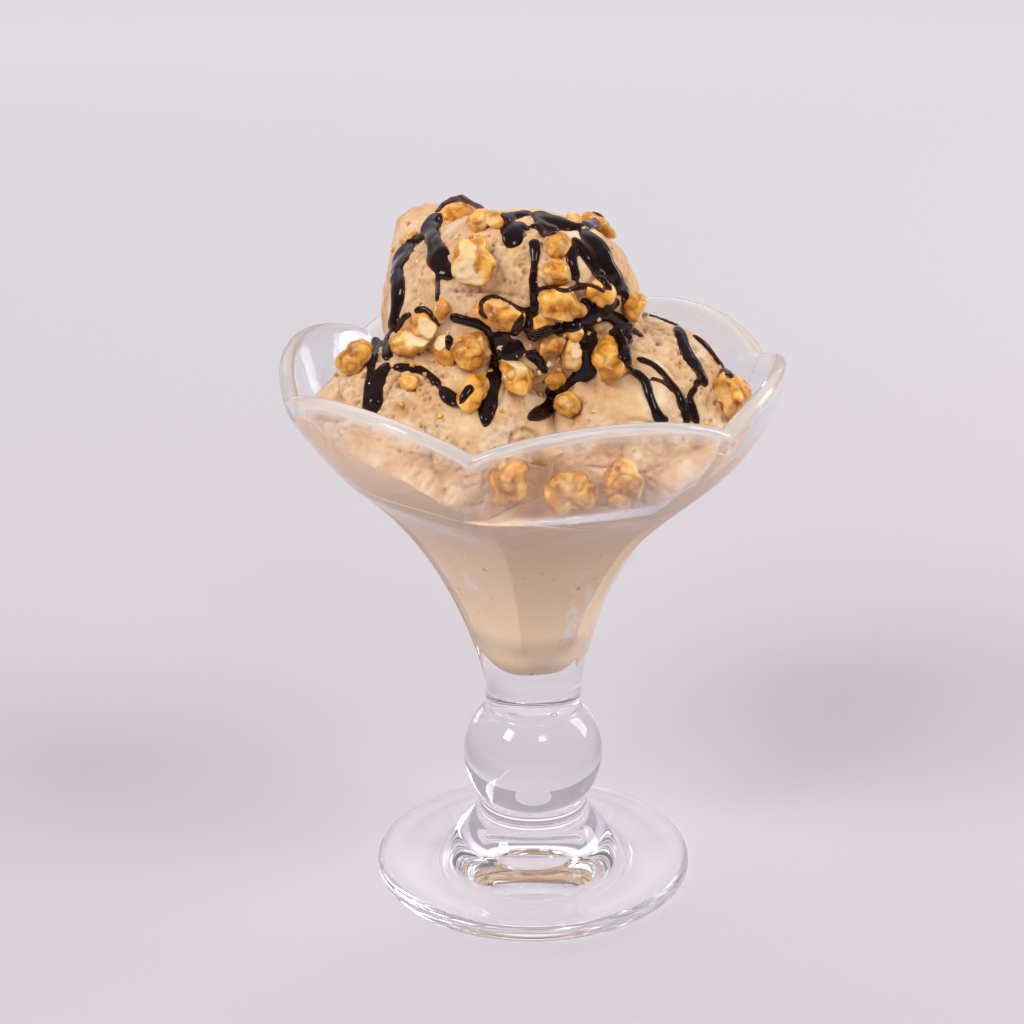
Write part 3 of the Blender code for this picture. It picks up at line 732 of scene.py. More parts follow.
@dataclass(frozen=True)
class LayoutView:
    """A view from a little above; places in it are millimetres right of and above its centre."""

    centre_height: float = 92.3
    distance: float = 531.5
    tilt: float = math.radians(21.0)
    before: float = 80.0
    beyond: float = 60.0
    stride: float = 0.25

    def axes(self, side: Side) -> tuple[np.ndarray, np.ndarray, np.ndarray]:
        """Directions of the view from a side.

        Args:
            side: side that the view is from.

        Returns:
            Right, up and forward, each of length one.
        """
        sign = side.value
        right = np.array((sign, 0.0, 0.0))
        up = np.array((0.0, sign * math.sin(self.tilt), math.cos(self.tilt)))
        forward = np.array((0.0, sign * math.cos(self.tilt), -math.sin(self.tilt)))
        return right, up, forward

    def sight_line(self, across: float, up_by: float, side: Side) -> tuple[np.ndarray, np.ndarray]:
        """Line of sight to a place in the view.

        Args:
            across: millimetres right of the view's centre.
            up_by: millimetres above it.
            side: side that the view is from.

        Returns:
            Its start and its unit direction.
        """
        right, up, forward = self.axes(side)
        centre = np.array((0.0, 0.0, self.centre_height))
        eye = centre - forward * self.distance
        direction = centre + right * across + up * up_by - eye
        return eye, direction / np.linalg.norm(direction)

    def followed(self, eye: np.ndarray, direction: np.ndarray) -> np.ndarray:
        """Even places along a line of sight, from before the dish to beyond its axis."""
        run = np.arange(self.distance - self.before, self.distance + self.beyond, self.stride)
        return eye + run[:, None] * direction


VIEW = LayoutView()


# The glass dish.


@dataclass
class GlassDish:
    """Foot, ball knop, short stem and a funnel that opens into six petals with a beaded rim.

    Rib and petal are the two profiles of the outer wall as (radius, height). Flare is the top of
    the foot as (share of its radius, height). The last fields are how finely each part is cut.
    """

    foot_radius: float = 38.0
    foot_edge_height: float = 4.5
    resting_ring_width: float = 2.75
    hollow_height: float = 1.6
    hollow_knot: tuple[float, float] = (0.6, 0.7)
    dimple_radius: float = 9.5
    dimple_height: float = 4.2
    dimple_start: float = 0.12
    knop_radius: float = 16.6
    knop_centre_height: float = 31.0
    foot_neck_radius: float = 12.7
    stem_neck_radius: float = 11.5
    petals: int = 6
    first_rib: float = 17.0
    rib_sharpness: float = 0.75
    crease_softness: float = 0.03
    wall: float = 3.7
    floor_height: float = 54.5
    floor_rounding: Profile = ((4.6, 0.8), (7.0, 3.2), (9.2, 7.0))
    floor_rounding_rise: float = 11.0
    rib: Profile = (
        (11.4, 43.0), (11.5, 48.5), (12.6, 54.5), (15.2, 62.5), (19.7, 73.5), (25.8, 84.5),
        (33.2, 94.2), (40.8, 101.5), (48.8, 110.5), (54.0, 117.5), (56.8, 122.5),
    )
    petal: Profile = (
        (11.4, 43.0), (11.5, 48.5), (12.3, 54.5), (14.3, 62.5), (18.0, 73.5), (23.8, 84.5),
        (30.0, 94.5), (36.0, 100.2), (44.4, 105.6), (51.1, 113.5), (55.05, 121.5), (57.03, 129.2),
    )
    flare: Profile = ((0.79, 5.4), (0.63, 7.1), (0.48, 10.2), (0.39, 14.2), (0.345, 18.0))
    finish: PressedSodaGlass = field(default_factory=PressedSodaGlass)
    around: int = 324
    rim_rings: float = 3.0
    dimple_steps: int = 10
    hollow_steps: int = 12
    edge_steps: int = 25
    flare_steps: int = 30
    knop_steps: int = 40
    wall_steps: int = 80
    bead_steps: int = 17
    inner_steps: int = 200
    inner_knots: int = 20
    table_top: float = 132.0
    table_levels: int = 160
    table_rings: int = 90

    def petal_share(self, azimuths: np.ndarray) -> np.ndarray:
        """How far each azimuth is from a rib: |sin| of three turns, to the rib's sharpness.

        The crease on a rib is rounded over a few degrees, as glass that was polished in a flame is.

        Args:
            azimuths: degrees round the axis.

        Returns:
            0 on a rib and 1 in the middle of a petal.
        """
        soft = self.crease_softness
        wave = np.sin(np.radians(azimuths - self.first_rib) * self.petals / 2.0)
        rounded = (np.sqrt(wave**2 + soft**2) - soft) / (math.sqrt(1.0 + soft**2) - soft)
        return np.clip(rounded, 0.0, 1.0) ** self.rib_sharpness

    def blend(self, rib: np.ndarray, petal: np.ndarray, around: int) -> np.ndarray:
        """Rings of points: each (radius, height) of a rib and a petal, mixed by petal_share.

        Args:
            rib: profile on a rib.
            petal: profile in the middle of a petal, with as many places.
            around: places round each ring, counted from the first rib.

        Returns:
            Ring number, place round it, coordinates.
        """
        azimuths = self.first_rib + np.arange(around) * 360.0 / around
        share = self.petal_share(azimuths)[None, :, None]
        flat = rib[:, None, :] * (1.0 - share) + petal[:, None, :] * share
        turn = np.radians(azimuths)[None, :]
        radius, height = flat[..., 0], flat[..., 1]
        return np.stack((radius * np.cos(turn), radius * np.sin(turn), height), axis=-1)

    def cavity(self, profile: Profile, inset: float, count: int) -> np.ndarray:
        """Inner wall from its floor to the rim: the outer profile moved to its left by the wall.

        Args:
            profile: rib or petal.
            inset: millimetres by which it lies further in. Below 0 it reaches into the wall.
            count: places wanted.

        Returns:
            Places as (radius, height).
        """
        fine = curve_through(profile, self.inner_steps)
        along = np.gradient(fine, axis=0)
        along /= np.linalg.norm(along, axis=1)[:, None]
        inner = fine + (self.wall + inset) * np.stack((-along[:, 1], along[:, 0]), axis=1)
        floor = self.floor_height + inset
        inner = inner[inner[:, 1] > floor + self.floor_rounding_rise]
        rounding = [(radius - inset, floor + rise) for radius, rise in self.floor_rounding]
        picked = np.linspace(0, len(inner) - 1, self.inner_knots).astype(int)
        return curve_through(np.concatenate((rounding, inner[picked])), count)

    def lower_profile(self) -> np.ndarray:
        """Underside, resting ring, rolled edge, flared top and ball knop.

        The dimple is a parabola, the edge half a circle, and the knop an arc from neck to neck.

        Returns:
            Places from the middle of the underside to the stem as (radius, height).
        """
        edge, rise = self.foot_edge_height / 2.0, self.dimple_height - self.hollow_height
        middle = self.foot_radius - edge
        out = np.linspace(self.dimple_start, 1.0, self.dimple_steps)
        dimple = np.stack((self.dimple_radius * out, self.hollow_height + rise * (1.0 - out**2)), axis=1)
        knot = (self.foot_radius * self.hollow_knot[0], self.hollow_height * self.hollow_knot[1])
        rest = (middle - self.resting_ring_width, 0.0)
        hollow = curve_through([dimple[-1], knot, rest], self.hollow_steps)[1:]
        ring = [(middle - self.resting_ring_width / 2.0, 0.0)]
        turn = np.radians(np.linspace(0.0, 180.0, self.edge_steps))
        rolled = np.stack((middle + edge * np.sin(turn), edge - edge * np.cos(turn)), axis=1)
        low = math.acos(-math.sqrt(1.0 - (self.foot_neck_radius / self.knop_radius) ** 2))
        high = math.acos(math.sqrt(1.0 - (self.stem_neck_radius / self.knop_radius) ** 2))
        turn = np.linspace(low, high, self.knop_steps)
        knop = self.knop_radius * np.stack((np.sin(turn), np.cos(turn)), axis=1)
        knop[:, 1] += self.knop_centre_height
        sloped = [(self.foot_radius * share, height) for share, height in self.flare]
        flare = curve_through([rolled[-1], *sloped, knop[0]], self.flare_steps)[1:-1]
        return np.concatenate((dimple, hollow, ring, rolled, flare, knop))

    @cached_property
    def wall_table(self) -> np.ndarray:
        """Radius of the inner wall, read once.

        Returns:
            A row for each whole degree from the first rib, with the radius at even heights.
        """
        rib, petal = (self.cavity(p, 0.0, self.table_rings) for p in (self.rib, self.petal))
        rings = self.blend(rib, petal, 360)
        heights = np.linspace(self.floor_height, self.table_top, self.table_levels)
        radius = np.hypot(rings[..., 0], rings[..., 1])
        return np.stack([np.interp(heights, rings[:, k, 2], radius[:, k]) for k in range(360)])

    def wall_radius(self, points: np.ndarray) -> np.ndarray:
        """Distance from the axis to the inner wall at each point's azimuth and height.

        It is looked up in the wall's table with a straight blend in both. Over the rim the wall is
        taken to rise straight up.

        Args:
            points: places, one row each.

        Returns:
            One radius for each point.
        """
        table = self.wall_table
        step = (self.table_top - self.floor_height) / (self.table_levels - 1)
        azimuth = (np.degrees(np.arctan2(points[:, 1], points[:, 0])) - self.first_rib) % 360.0
        level = np.clip((points[:, 2] - self.floor_height) / step, 0.0, self.table_levels - 1.001)
        a, h = azimuth.astype(int) % 360, level.astype(int)
        s, t = azimuth - np.floor(azimuth), level - h
        b = (a + 1) % 360
        near = table[a, h] * (1 - t) + table[a, h + 1] * t
        far = table[b, h] * (1 - t) + table[b, h + 1] * t
        return near * (1 - s) + far * s

    def bead(self, outer: np.ndarray, inner: np.ndarray) -> np.ndarray:
        """Half round over the rim.

        Args:
            outer: end of the outer wall as (radius, height).
            inner: end of the inner wall.

        Returns:
            Places between them as (radius, height).
        """
        turn = np.radians(np.linspace(0.0, 180.0, self.bead_steps))[1:-1, None]
        middle, reach = (outer + inner) / 2.0, (outer - inner) / 2.0
        return middle + reach * np.cos(turn) + np.array((-reach[1], reach[0])) * np.sin(turn)

    def build(self) -> Any:
        """Builds the dish as one closed skin of rings and dresses it.

        The attribute rim, which places the painted highlight, is 1 on the bead and falls to 0 over a few
        rings on either side of it.

        Returns:
            The dish.
        """
        rib, petal = (curve_through(p, self.wall_steps) for p in (self.rib, self.petal))
        rib_in, petal_in = (self.cavity(p, 0.0, self.wall_steps)[::-1] for p in (self.rib, self.petal))
        lower = self.lower_profile()
        beads = (self.bead(rib[-1], rib_in[0]), self.bead(petal[-1], petal_in[0]))
        profiles = [(lower, lower), (rib, petal), beads, (rib_in, petal_in)]
        rings = np.concatenate([self.blend(a, b, self.around) for a, b in profiles])
        points, faces = rings_skin(
            rings, np.array((0.0, 0.0, self.dimple_height)), np.array((0.0, 0.0, self.floor_height))
        )
        number = np.repeat(np.arange(len(rings)), self.around)
        start = len(lower) + len(rib)
        stop = start + len(beads[0])
        # Where the bead takes its painted highlight.
        rim = np.clip(1.0 + np.minimum(number - start, stop - number) / self.rim_rings, 0.0, 1.0)
        piece = make_piece(
            "glass_dish_clear", points, faces, self.finish.make(), ("glass_dish",),
            {"rim": np.concatenate((rim, (0.0, 0.0)))},
        )
        # Real glass bends the light on it towards what stands behind. Traced paths lose most of
        # that light, so the dish casts no shadow, and the paper and the ice cream stay as pale.
        piece.visible_shadow = False
        return piece


# The ice cream.


@dataclass(frozen=True)
class Bump:
    """A rise of a scoop, or a dent below 0: its direction, height and spread in radians."""

    direction: Triple
    height: float
    spread: float


@dataclass(frozen=True)
class Churned:
    """Relief of churned and scooped ice cream, in millimetres.

    Lumps, grain and bubbles come as (size, height) or, for pits, as (cell, reach, share), which
    pits explains. Bases and sways are the mean of a noise and how far it swings from it. Their
    shares of darkness are painted shade in the pits, the porous patches, the low grain and the cracks.
    """

    porous_size: float = 12.0
    porous_base: float = 0.35
    porous_sway: float = 1.7
    porous_spot: float = 1.6
    large_lumps: tuple[float, float] = (10.0, 0.95)
    small_lumps: tuple[float, float] = (4.5, 0.45)
    crack_size: float = 12.0
    crack_width: float = 0.045
    crack_depth: float = 0.8
    crack_patch: float = 7.0
    crack_base: float = 0.3
    crack_sway: float = 2.0
    rib_size: float = 1.5
    rib_height: float = 0.28
    rib_stretch: float = 0.14
    grain: tuple[float, float] = (2.0, 0.26)
    fine_grain: tuple[float, float] = (0.95, 0.22)
    smooth_grain: float = 0.3
    large_pits: Triple = (3.2, 0.42, 0.34)
    large_pit_depth: float = 0.75
    large_pit_shade: float = 0.55
    fine_pits: Triple = (1.35, 0.45, 0.6)
    fine_pit_depth: float = 0.5
    fine_pit_shade: float = 0.6
    # Painted shade in the porous patches, the low grain and the cracks; the pit shares above are too.
    porous_shade: float = 0.1
    grain_shade: float = 0.4
    crack_shade: float = 0.35


@dataclass(frozen=True)
class Scoop:
    """A ball of ice cream: middle, half sizes, squareness, unevenness and seed.

    Bumps shape it, and porous lists spots full of pits, each a direction and a spread in radians.
    """

    node: str
    centre: Triple
    half_size: Triple
    squareness: float
    unevenness: float
    seed: int
    bumps: tuple[Bump, ...] = ()
    porous: tuple[tuple[Triple, float], ...] = ()
    relief: Churned = Churned()
    grid: int = 126
    waves: int = 9

    def radius(self, directions: np.ndarray) -> np.ndarray:
        """Distance from the middle to the smooth surface.

        A superellipsoid, (|x/a|^n + |y/b|^n + |z/c|^n)^(-1/n), times one plus the sine unevenness,
        plus each bump's height times a bell curve of the angle from its direction.

        Args:
            directions: unit vectors, one row each.

        Returns:
            One distance for each.
        """
        share = np.abs(directions / np.asarray(self.half_size)) ** self.squareness
        smooth = share.sum(axis=1) ** (-1.0 / self.squareness)
        radius = smooth * (1.0 + self.unevenness * lumps(directions, self.seed, self.waves))
        for bump in self.bumps:
            radius += bump.height * bell(directions, bump.direction, bump.spread)
        return radius

    def clearance(self, points: np.ndarray) -> np.ndarray:
        """How far each point lies outside the smooth surface, along the line from its middle.

        Args:
            points: places, one row each.

        Returns:
            One distance for each, below 0 inside.
        """
        offset = points - np.asarray(self.centre)
        distance = np.linalg.norm(offset, axis=1)
        return distance - self.radius(offset / distance[:, None])

    def surface(self) -> tuple[np.ndarray, np.ndarray, np.ndarray]:
        """The worked surface of the scoop.

        On the smooth ball lie lumps of two sizes, cracks where a noise crosses zero, ribs that run
        upwards as the scoop's edge left them, a grain, and two sizes of pits. A slow noise and the
        porous spots set where it is full of pits and where it is smooth and ribbed.

        Returns:
            Points, quads and the hollow attribute from 0 to 1: the painted shade of pits, cracks and low
            grain.
        """
        form, seed, centre = self.relief, self.seed, np.asarray(self.centre)
        directions, quads = ball_grid(self.grid)
        base = self.radius(directions)
        at = centre + directions * base[:, None]

        def noise(size: float, offset: int) -> np.ndarray:
            """Noise of a size at each point, with a seed of its own."""
            return value_noise(at, size, seed + offset)

        porous = form.porous_base + form.porous_sway * noise(form.porous_size, 8)
        for way, spread in self.porous:
            porous += form.porous_spot * bell(directions, way, spread)
        porous = np.clip(porous, 0.0, 1.0)
        lumpy = form.large_lumps[1] * noise(form.large_lumps[0], 0)
        lumpy += form.small_lumps[1] * noise(form.small_lumps[0], 5)
        crack = np.exp(-((noise(form.crack_size, 11) / form.crack_width) ** 2))
        crack *= np.clip(form.crack_base + form.crack_sway * noise(form.crack_patch, 12), 0.0, 1.0)
        ribs = value_noise(at * (1.0, 1.0, form.rib_stretch), form.rib_size, seed + 9) * (1.0 - porous)
        fine_grain = noise(form.fine_grain[0], 7)
        grain = noise(form.grain[0], 6) * form.grain[1] + fine_grain * form.fine_grain[1]
        large, fine = pits(at, *form.large_pits, seed + 20), pits(at, *form.fine_pits, seed + 40)
        radius = base + lumpy - form.crack_depth * crack + form.rib_height * ribs
        radius += grain * (form.smooth_grain + porous)
        radius -= porous * (form.large_pit_depth * large + form.fine_pit_depth * fine)
        # Painted shade: pits, porous patches, the low grain and cracks are drawn darker.
        dark = form.large_pit_shade * large + form.fine_pit_shade * fine + form.porous_shade
        dark -= form.grain_shade * np.minimum(fine_grain, 0.0)
        hollow = np.clip(porous * dark + form.crack_shade * crack, 0.0, 1.0)
        return centre + directions * radius[:, None], quads, hollow


LEFT_BUMPS = (Bump((-0.90, 0.00, 0.20), 2.0, 0.40), Bump((-0.85, -0.40, -0.40), 5.0, 0.60))
RIGHT_BUMPS = (Bump((0.35, 0.20, 0.90), 3.0, 0.60),)
TOP_BUMPS = (
    Bump((-0.68, 0.36, 0.62), 3.5, 0.26),
    Bump((-0.35, 0.48, 0.80), -2.1, 0.30),
    Bump((0.05, 0.50, 0.87), -4.2, 0.35),
    Bump((0.47, 0.40, 0.79), -1.6, 0.30),
    Bump((0.74, -0.10, 0.68), -3.5, 0.25),
    Bump((0.92, -0.15, 0.36), -3.0, 0.25),
)
TOP_POROUS = (((-0.45, -0.85, -0.3), 0.5), ((0.05, -0.95, 0.25), 0.35))
SCOOPS = (
    Scoop("scoop_left", (-19.5, -12.0, 114.5), (28.5, 27.0, 24.5), 2.15, 0.045, 3, LEFT_BUMPS),
    Scoop("scoop_right", (20.5, -7.0, 112.5), (25.5, 26.0, 25.0), 2.0, 0.04, 8, RIGHT_BUMPS),
    Scoop("scoop_back", (1.0, 22.0, 112.0), (29.0, 25.0, 25.0), 2.1, 0.05, 15),
    Scoop(
        "scoop_top", (-3.5, 1.0, 138.5), (29.0, 24.5, 25.0), 3.0, 0.06, 22, TOP_BUMPS, TOP_POROUS
    ),
)


def first_hit(across: float, up_by: float, side: Side) -> tuple[np.ndarray, np.ndarray]:
    """Nearest point that a line of sight meets on any of the scoops, and the way out there.

    Args:
        across: millimetres right of the view's centre.
        up_by: millimetres above it.
        side: side that the view is from.

    Returns:
        The point and its outward direction. Where the line misses, the point that passes nearest.
    """
    line = VIEW.followed(*VIEW.sight_line(across, up_by, side))
    depth = np.array([scoop.clearance(line) for scoop in SCOOPS])
    inside = np.nonzero(depth.min(axis=0) < 0.0)[0]
    at = int(inside[0]) if len(inside) else int(np.argmin(depth.min(axis=0)))
    scoop = SCOOPS[int(np.argmin(depth[:, at]))]
    outward = (line[at] - np.asarray(scoop.centre)) / np.asarray(scoop.half_size) ** 2
    return line[at], outward / np.linalg.norm(outward)


@dataclass
class IceCream:
    """The ice cream packed in the funnel and the four scoops on it.

    Pocket is the range of azimuths where walnut pieces lie between the ice cream and the glass.
    Brim waves are (size, turns, phase). Bubbles are (darkness, cell, reach, share, seed), where the
    darkness is painted shade in the bubbles on the glass. A frost band is (strength, azimuth, its
    spread, height, its spread), and streaks are noise on it.
    """

    dish: GlassDish
    filling_height: float = 104.0
    crown: float = 3.0
    into_wall: float = 0.12
    seat: float = 4.0
    pressed_to: float = 120.0
    pressed_fade: float = 4.0
    pressed_within: float = 5.5
    pressed_ease: float = 2.5
    pressed_past: float = 0.5
    pocket: tuple[float, float] = (254.0, 306.0)
    pocket_fade: float = 6.0
    shaded_from: float = 113.0
    shaded_over: float = 8.0
    shaded_least: float = 0.25
    brim_rise: float = 2.0
    brim_sway: float = 1.1
    brim_waves: tuple[Triple, ...] = ((1.0, 2.0, 0.6), (0.6, 5.0, 2.0), (0.4, 11.0, 0.0))
    left_rise: float = 3.0
    left_turn: float = 0.4
    crown_lumps: tuple[float, float] = (4.0, 0.5)
    bubbles: tuple = ((0.9, 5.0, 0.16, 0.5, 77), (0.6, 2.6, 0.2, 0.3, 91))
    frost_bands: tuple = ((1.0, 306.0, 16.0, 73.0, 12.0), (0.7, 226.0, 9.0, 79.0, 8.0))
    streak_size: float = 1.7
    streak_stretch: float = 0.55
    speck_size: float = 0.9
    speck_share: float = 0.6
    frost_gain: float = 1.9
    frost_start: float = 0.1
    most_frost: float = 0.75
    band_gain: float = 1.5
    scooped_grain: float = 0.55
    pressed_grain: float = 0.1
    wall_rings: int = 110
    crown_rings: int = 26
    around: int = 360
    finish: CoffeeIceCream = field(default_factory=CoffeeIceCream)

    def inside_dish(self, points: np.ndarray) -> tuple[np.ndarray, np.ndarray]:
        """Points past the inner wall drawn in, level by level, to just inside the glass.

        Args:
            points: places, one row each.

        Returns:
            The points, and for each 1 if it was drawn in and so touches the glass, else 0.
        """
        limit = self.dish.wall_radius(points) + self.into_wall
        radius = np.hypot(points[:, 0], points[:, 1])
        factor = np.minimum(1.0, limit / np.maximum(radius, 1e-6))
        drawn = points.copy()
        drawn[:, :2] *= factor[:, None]
        return drawn, (factor < 1.0).astype(float)

    def press_out(self, points: np.ndarray) -> np.ndarray:
        """Points near the wall and below the rim pressed out to it, but for the pocket.

        The share of the way that a point goes is a smooth step of how near the wall it is, times
        one of its height and one of its azimuth beside the pocket.

        Args:
            points: places, one row each.

        Returns:
            The pressed points.
        """
        limit = self.dish.wall_radius(points) + self.pressed_past
        radius = np.hypot(points[:, 0], points[:, 1])
        azimuth = np.degrees(np.arctan2(points[:, 1], points[:, 0])) % 360.0
        beside = np.maximum(self.pocket[0] - azimuth, azimuth - self.pocket[1])
        share = np.clip((radius - limit + self.pressed_within) / self.pressed_ease, 0.0, 1.0)
        share *= np.clip((self.pressed_to - points[:, 2]) / self.pressed_fade, 0.0, 1.0)
        share *= np.clip(beside / self.pocket_fade, 0.0, 1.0)
        share = share * share * (3.0 - 2.0 * share)
        factor = 1.0 + share * np.maximum(limit - radius, 0.0) / np.maximum(radius, 1e-6)
        pressed = points.copy()
        pressed[:, :2] *= factor[:, None]
        return pressed

    def build_scoops(self) -> list[tuple[np.ndarray, np.ndarray]]:
        """Builds the scoops, each flat below where it sits on the filling.

        Their painted pit shade is lighter low down, where the light is in the glass all round them.

        Returns:
            Points and quads of each, for laying toppings on them.
        """
        material = self.finish.make("coffee_ice_cream_churned_and_scooped", self.scooped_grain)
        shapes = []
        for scoop in SCOOPS:
            points, quads, hollow = scoop.surface()
            points[:, 2] = np.maximum(points[:, 2], self.filling_height - self.seat)
            over = (points[:, 2] - self.shaded_from) / self.shaded_over
            points, touching = self.inside_dish(self.press_out(points))
            make_piece(
                scoop.node + "_churned", points, quads.tolist(), material, (scoop.node,),
                {"hollow": hollow * np.clip(over, self.shaded_least, 1.0), "touching": touching},
            )
            shapes.append((points, quads))
        return shapes

    def brim(self) -> np.ndarray:
        """Edge of the filling round the glass, uneven by sine waves and higher on the left.

        Returns:
            Its height at even azimuths from the first rib.
        """
        angle = np.radians(self.dish.first_rib + np.arange(self.around) * 360.0 / self.around)
        uneven = sum(size * np.sin(turns * angle + phase) for size, turns, phase in self.brim_waves)
        left = np.clip(-np.cos(angle - self.left_turn), 0.0, 1.0)
        return self.filling_height + self.brim_rise + self.brim_sway * uneven + self.left_rise * left

    def frost(self, points: np.ndarray) -> np.ndarray:
        """Frost on the glass: upright streaks of noise, strongest in the middle of the bands.

        Args:
            points: places, one row each.

        Returns:
            How white each place is, from 0 to 1.
        """
        azimuth = np.degrees(np.arctan2(points[:, 1], points[:, 0])) % 360.0
        band = sum(
            strength * np.exp(-(((azimuth - at) / wide) ** 2) - ((points[:, 2] - height) / tall) ** 2)
            for strength, at, wide, height, tall in self.frost_bands
        )
        streaks = value_noise(points * (1.0, 1.0, self.streak_stretch), self.streak_size, 61)
        streaks += self.speck_share * value_noise(points, self.speck_size, 62)
        white = np.clip(self.frost_gain * streaks - self.frost_start, 0.0, self.most_frost)
        return white * np.clip(self.band_gain * band, 0.0, 1.0)

    def build_filling(self) -> Any:
        """Builds the packed ice cream: the inner wall's rings, just inside the glass, and a crown.

        The wall is read again at even heights up to the brim. From there rings shrink evenly to
        the middle, while they rise in a straight line to the crown and are a little lumpy.

        Returns:
            The filling.
        """
        dish, around, brim = self.dish, self.around, self.brim()
        rings = dish.blend(
            *(dish.cavity(p, -self.into_wall, self.wall_rings) for p in (dish.rib, dish.petal)), around
        )
        heights = rings[:, :, 2]
        levels = np.linspace(0.0, 1.0, self.wall_rings)[:, None]
        wanted = heights[0] * (1.0 - levels) + brim * levels
        columns = [
            [np.interp(wanted[:, k], heights[:, k], rings[:, k, axis]) for axis in range(3)]
            for k in range(around)
        ]
        wall = np.stack(columns).transpose(2, 0, 1)
        shares = np.linspace(1.0, 0.0, self.crown_rings)[1:-1, None, None]
        top = wall[-1][None] * shares
        peak = self.filling_height + self.crown
        top[..., 2] = brim * shares[..., 0] + peak * (1.0 - shares[..., 0])
        size, rise = self.crown_lumps
        top[..., 2] += rise * value_noise(top.reshape(-1, 3), size, 5).reshape(top.shape[:2])
        points, faces = rings_skin(
            np.concatenate((wall, top)),
            np.array((0.0, 0.0, dish.floor_height - self.into_wall)), np.array((0.0, 0.0, peak)),
        )
        # Painted shade: bubbles against the glass are drawn darker.
        hollow = sum(dark * pits(points, *spread) for dark, *spread in self.bubbles)
        # Painted light: the skin on the glass takes the paler colours.
        touching = (np.arange(len(points)) < self.wall_rings * around).astype(float)
        touching[-2] = 1.0  # the point in the middle of the floor
        return make_piece(
            "ice_cream_in_funnel", points, faces,
            self.finish.make("coffee_ice_cream_pressed_on_glass", self.pressed_grain),
            ("ice_cream_filling",),
            {"hollow": np.clip(hollow, 0.0, 1.0), "frost": self.frost(points), "touching": touching},
        )


# The walnut pieces.


@dataclass(frozen=True)
class Walnut:
    """A piece of walnut in the layout view: place, length, width, turn and lift off the ice cream.

    Taper makes it thicker at one end, and a tapered piece has no broken face.
    """

    across: float
    up: float
    length: float
    width: float
    turn: float
    lift: float = 0.25
    side: Side = Side.FRONT
    taper: float = 0.0


@dataclass(frozen=True)
class PocketWalnut:
    """A piece between the ice cream and the glass: azimuth, radius, height, size and turn."""

    azimuth: float
    radius: float
    height: float
    length: float
    width: float
    turn: float


WALNUTS = (
    Walnut(-17.1, 68.3, 9.0, 6.4, 15.0, 0.1),
    Walnut(-12.4, 66.4, 7.4, 5.2, 80.0, 0.3),
    Walnut(-8.8, 66.8, 5.6, 4.4, 120.0),
    Walnut(-12.9, 56.6, 12.4, 9.8, 110.0, 0.3),
    Walnut(14.4, 64.8, 10.0, 5.0, 85.0, 0.3),
    Walnut(9.2, 66.8, 4.8, 4.0, 10.0),
    Walnut(5.1, 61.3, 7.6, 6.6, 60.0, 0.1),
    Walnut(5.0, 54.8, 8.0, 6.4, 170.0),
    Walnut(5.8, 47.6, 11.0, 8.0, 175.0, 0.3),
    Walnut(14.8, 50.3, 7.6, 6.0, 160.0),
    Walnut(1.3, 43.5, 6.6, 5.6, 30.0),
    Walnut(4.2, 38.9, 6.8, 5.0, 10.0),
    Walnut(8.6, 36.5, 7.4, 5.0, 100.0),
    Walnut(9.2, 41.6, 5.0, 4.0, 70.0),
    Walnut(-7.7, 45.8, 11.2, 7.0, 160.0, 0.3),
    Walnut(-24.6, 43.1, 7.0, 5.8, 150.0),
    Walnut(-20.7, 46.6, 5.6, 4.2, 70.0),
    Walnut(-28.1, 37.3, 10.8, 7.6, 5.0, 0.3),
    Walnut(-19.9, 37.5, 8.0, 5.4, 95.0),
    Walnut(-13.3, 38.1, 10.0, 8.8, 45.0, 0.3),
    Walnut(-5.1, 30.1, 10.4, 7.2, 100.0, 0.3),
    Walnut(-13.9, 26.8, 11.6, 6.0, 65.0, 0.25),
    Walnut(18.3, 34.2, 14.6, 8.6, 95.0, 0.35, Side.FRONT, 0.42),
    Walnut(8.6, 24.3, 6.8, 6.2, 140.0),
    Walnut(22.4, 47.2, 7.0, 6.0, 70.0),
    Walnut(-28.0, 62.3, 5.2, 4.2, 100.0),
    Walnut(-39.8, 34.2, 9.8, 7.8, 60.0, 0.3),
    Walnut(44.3, 26.2, 12.6, 10.2, 30.0, 0.2),
    Walnut(-28.4, 29.4, 5.0, 4.2, 20.0),
    Walnut(4.9, 30.9, 5.4, 4.2, 20.0),
    Walnut(-9.0, 51.0, 11.0, 8.4, 140.0, 0.3, Side.BEHIND),
    Walnut(13.0, 52.0, 12.0, 8.0, 30.0, 0.3, Side.BEHIND),
    Walnut(-16.0, 41.0, 9.0, 7.2, 100.0, 0.3, Side.BEHIND),
    Walnut(0.0, 38.0, 10.4, 7.6, 160.0, 0.3, Side.BEHIND),
    Walnut(21.0, 34.0, 9.6, 7.0, 60.0, 0.3, Side.BEHIND),
    Walnut(-12.0, 30.0, 8.4, 6.6, 20.0, 0.3, Side.BEHIND),
    Walnut(10.0, 27.0, 11.4, 7.4, 120.0, 0.3, Side.BEHIND),
)

POCKET_WALNUTS = (
    PocketWalnut(263.0, 40.5, 115.4, 11.3, 9.2, 70.0),
    PocketWalnut(281.0, 41.0, 113.2, 12.0, 9.0, 10.0),
    PocketWalnut(297.0, 41.5, 113.7, 10.0, 9.0, 60.0),
    PocketWalnut(273.0, 40.5, 121.5, 8.0, 6.0, 0.0),
)


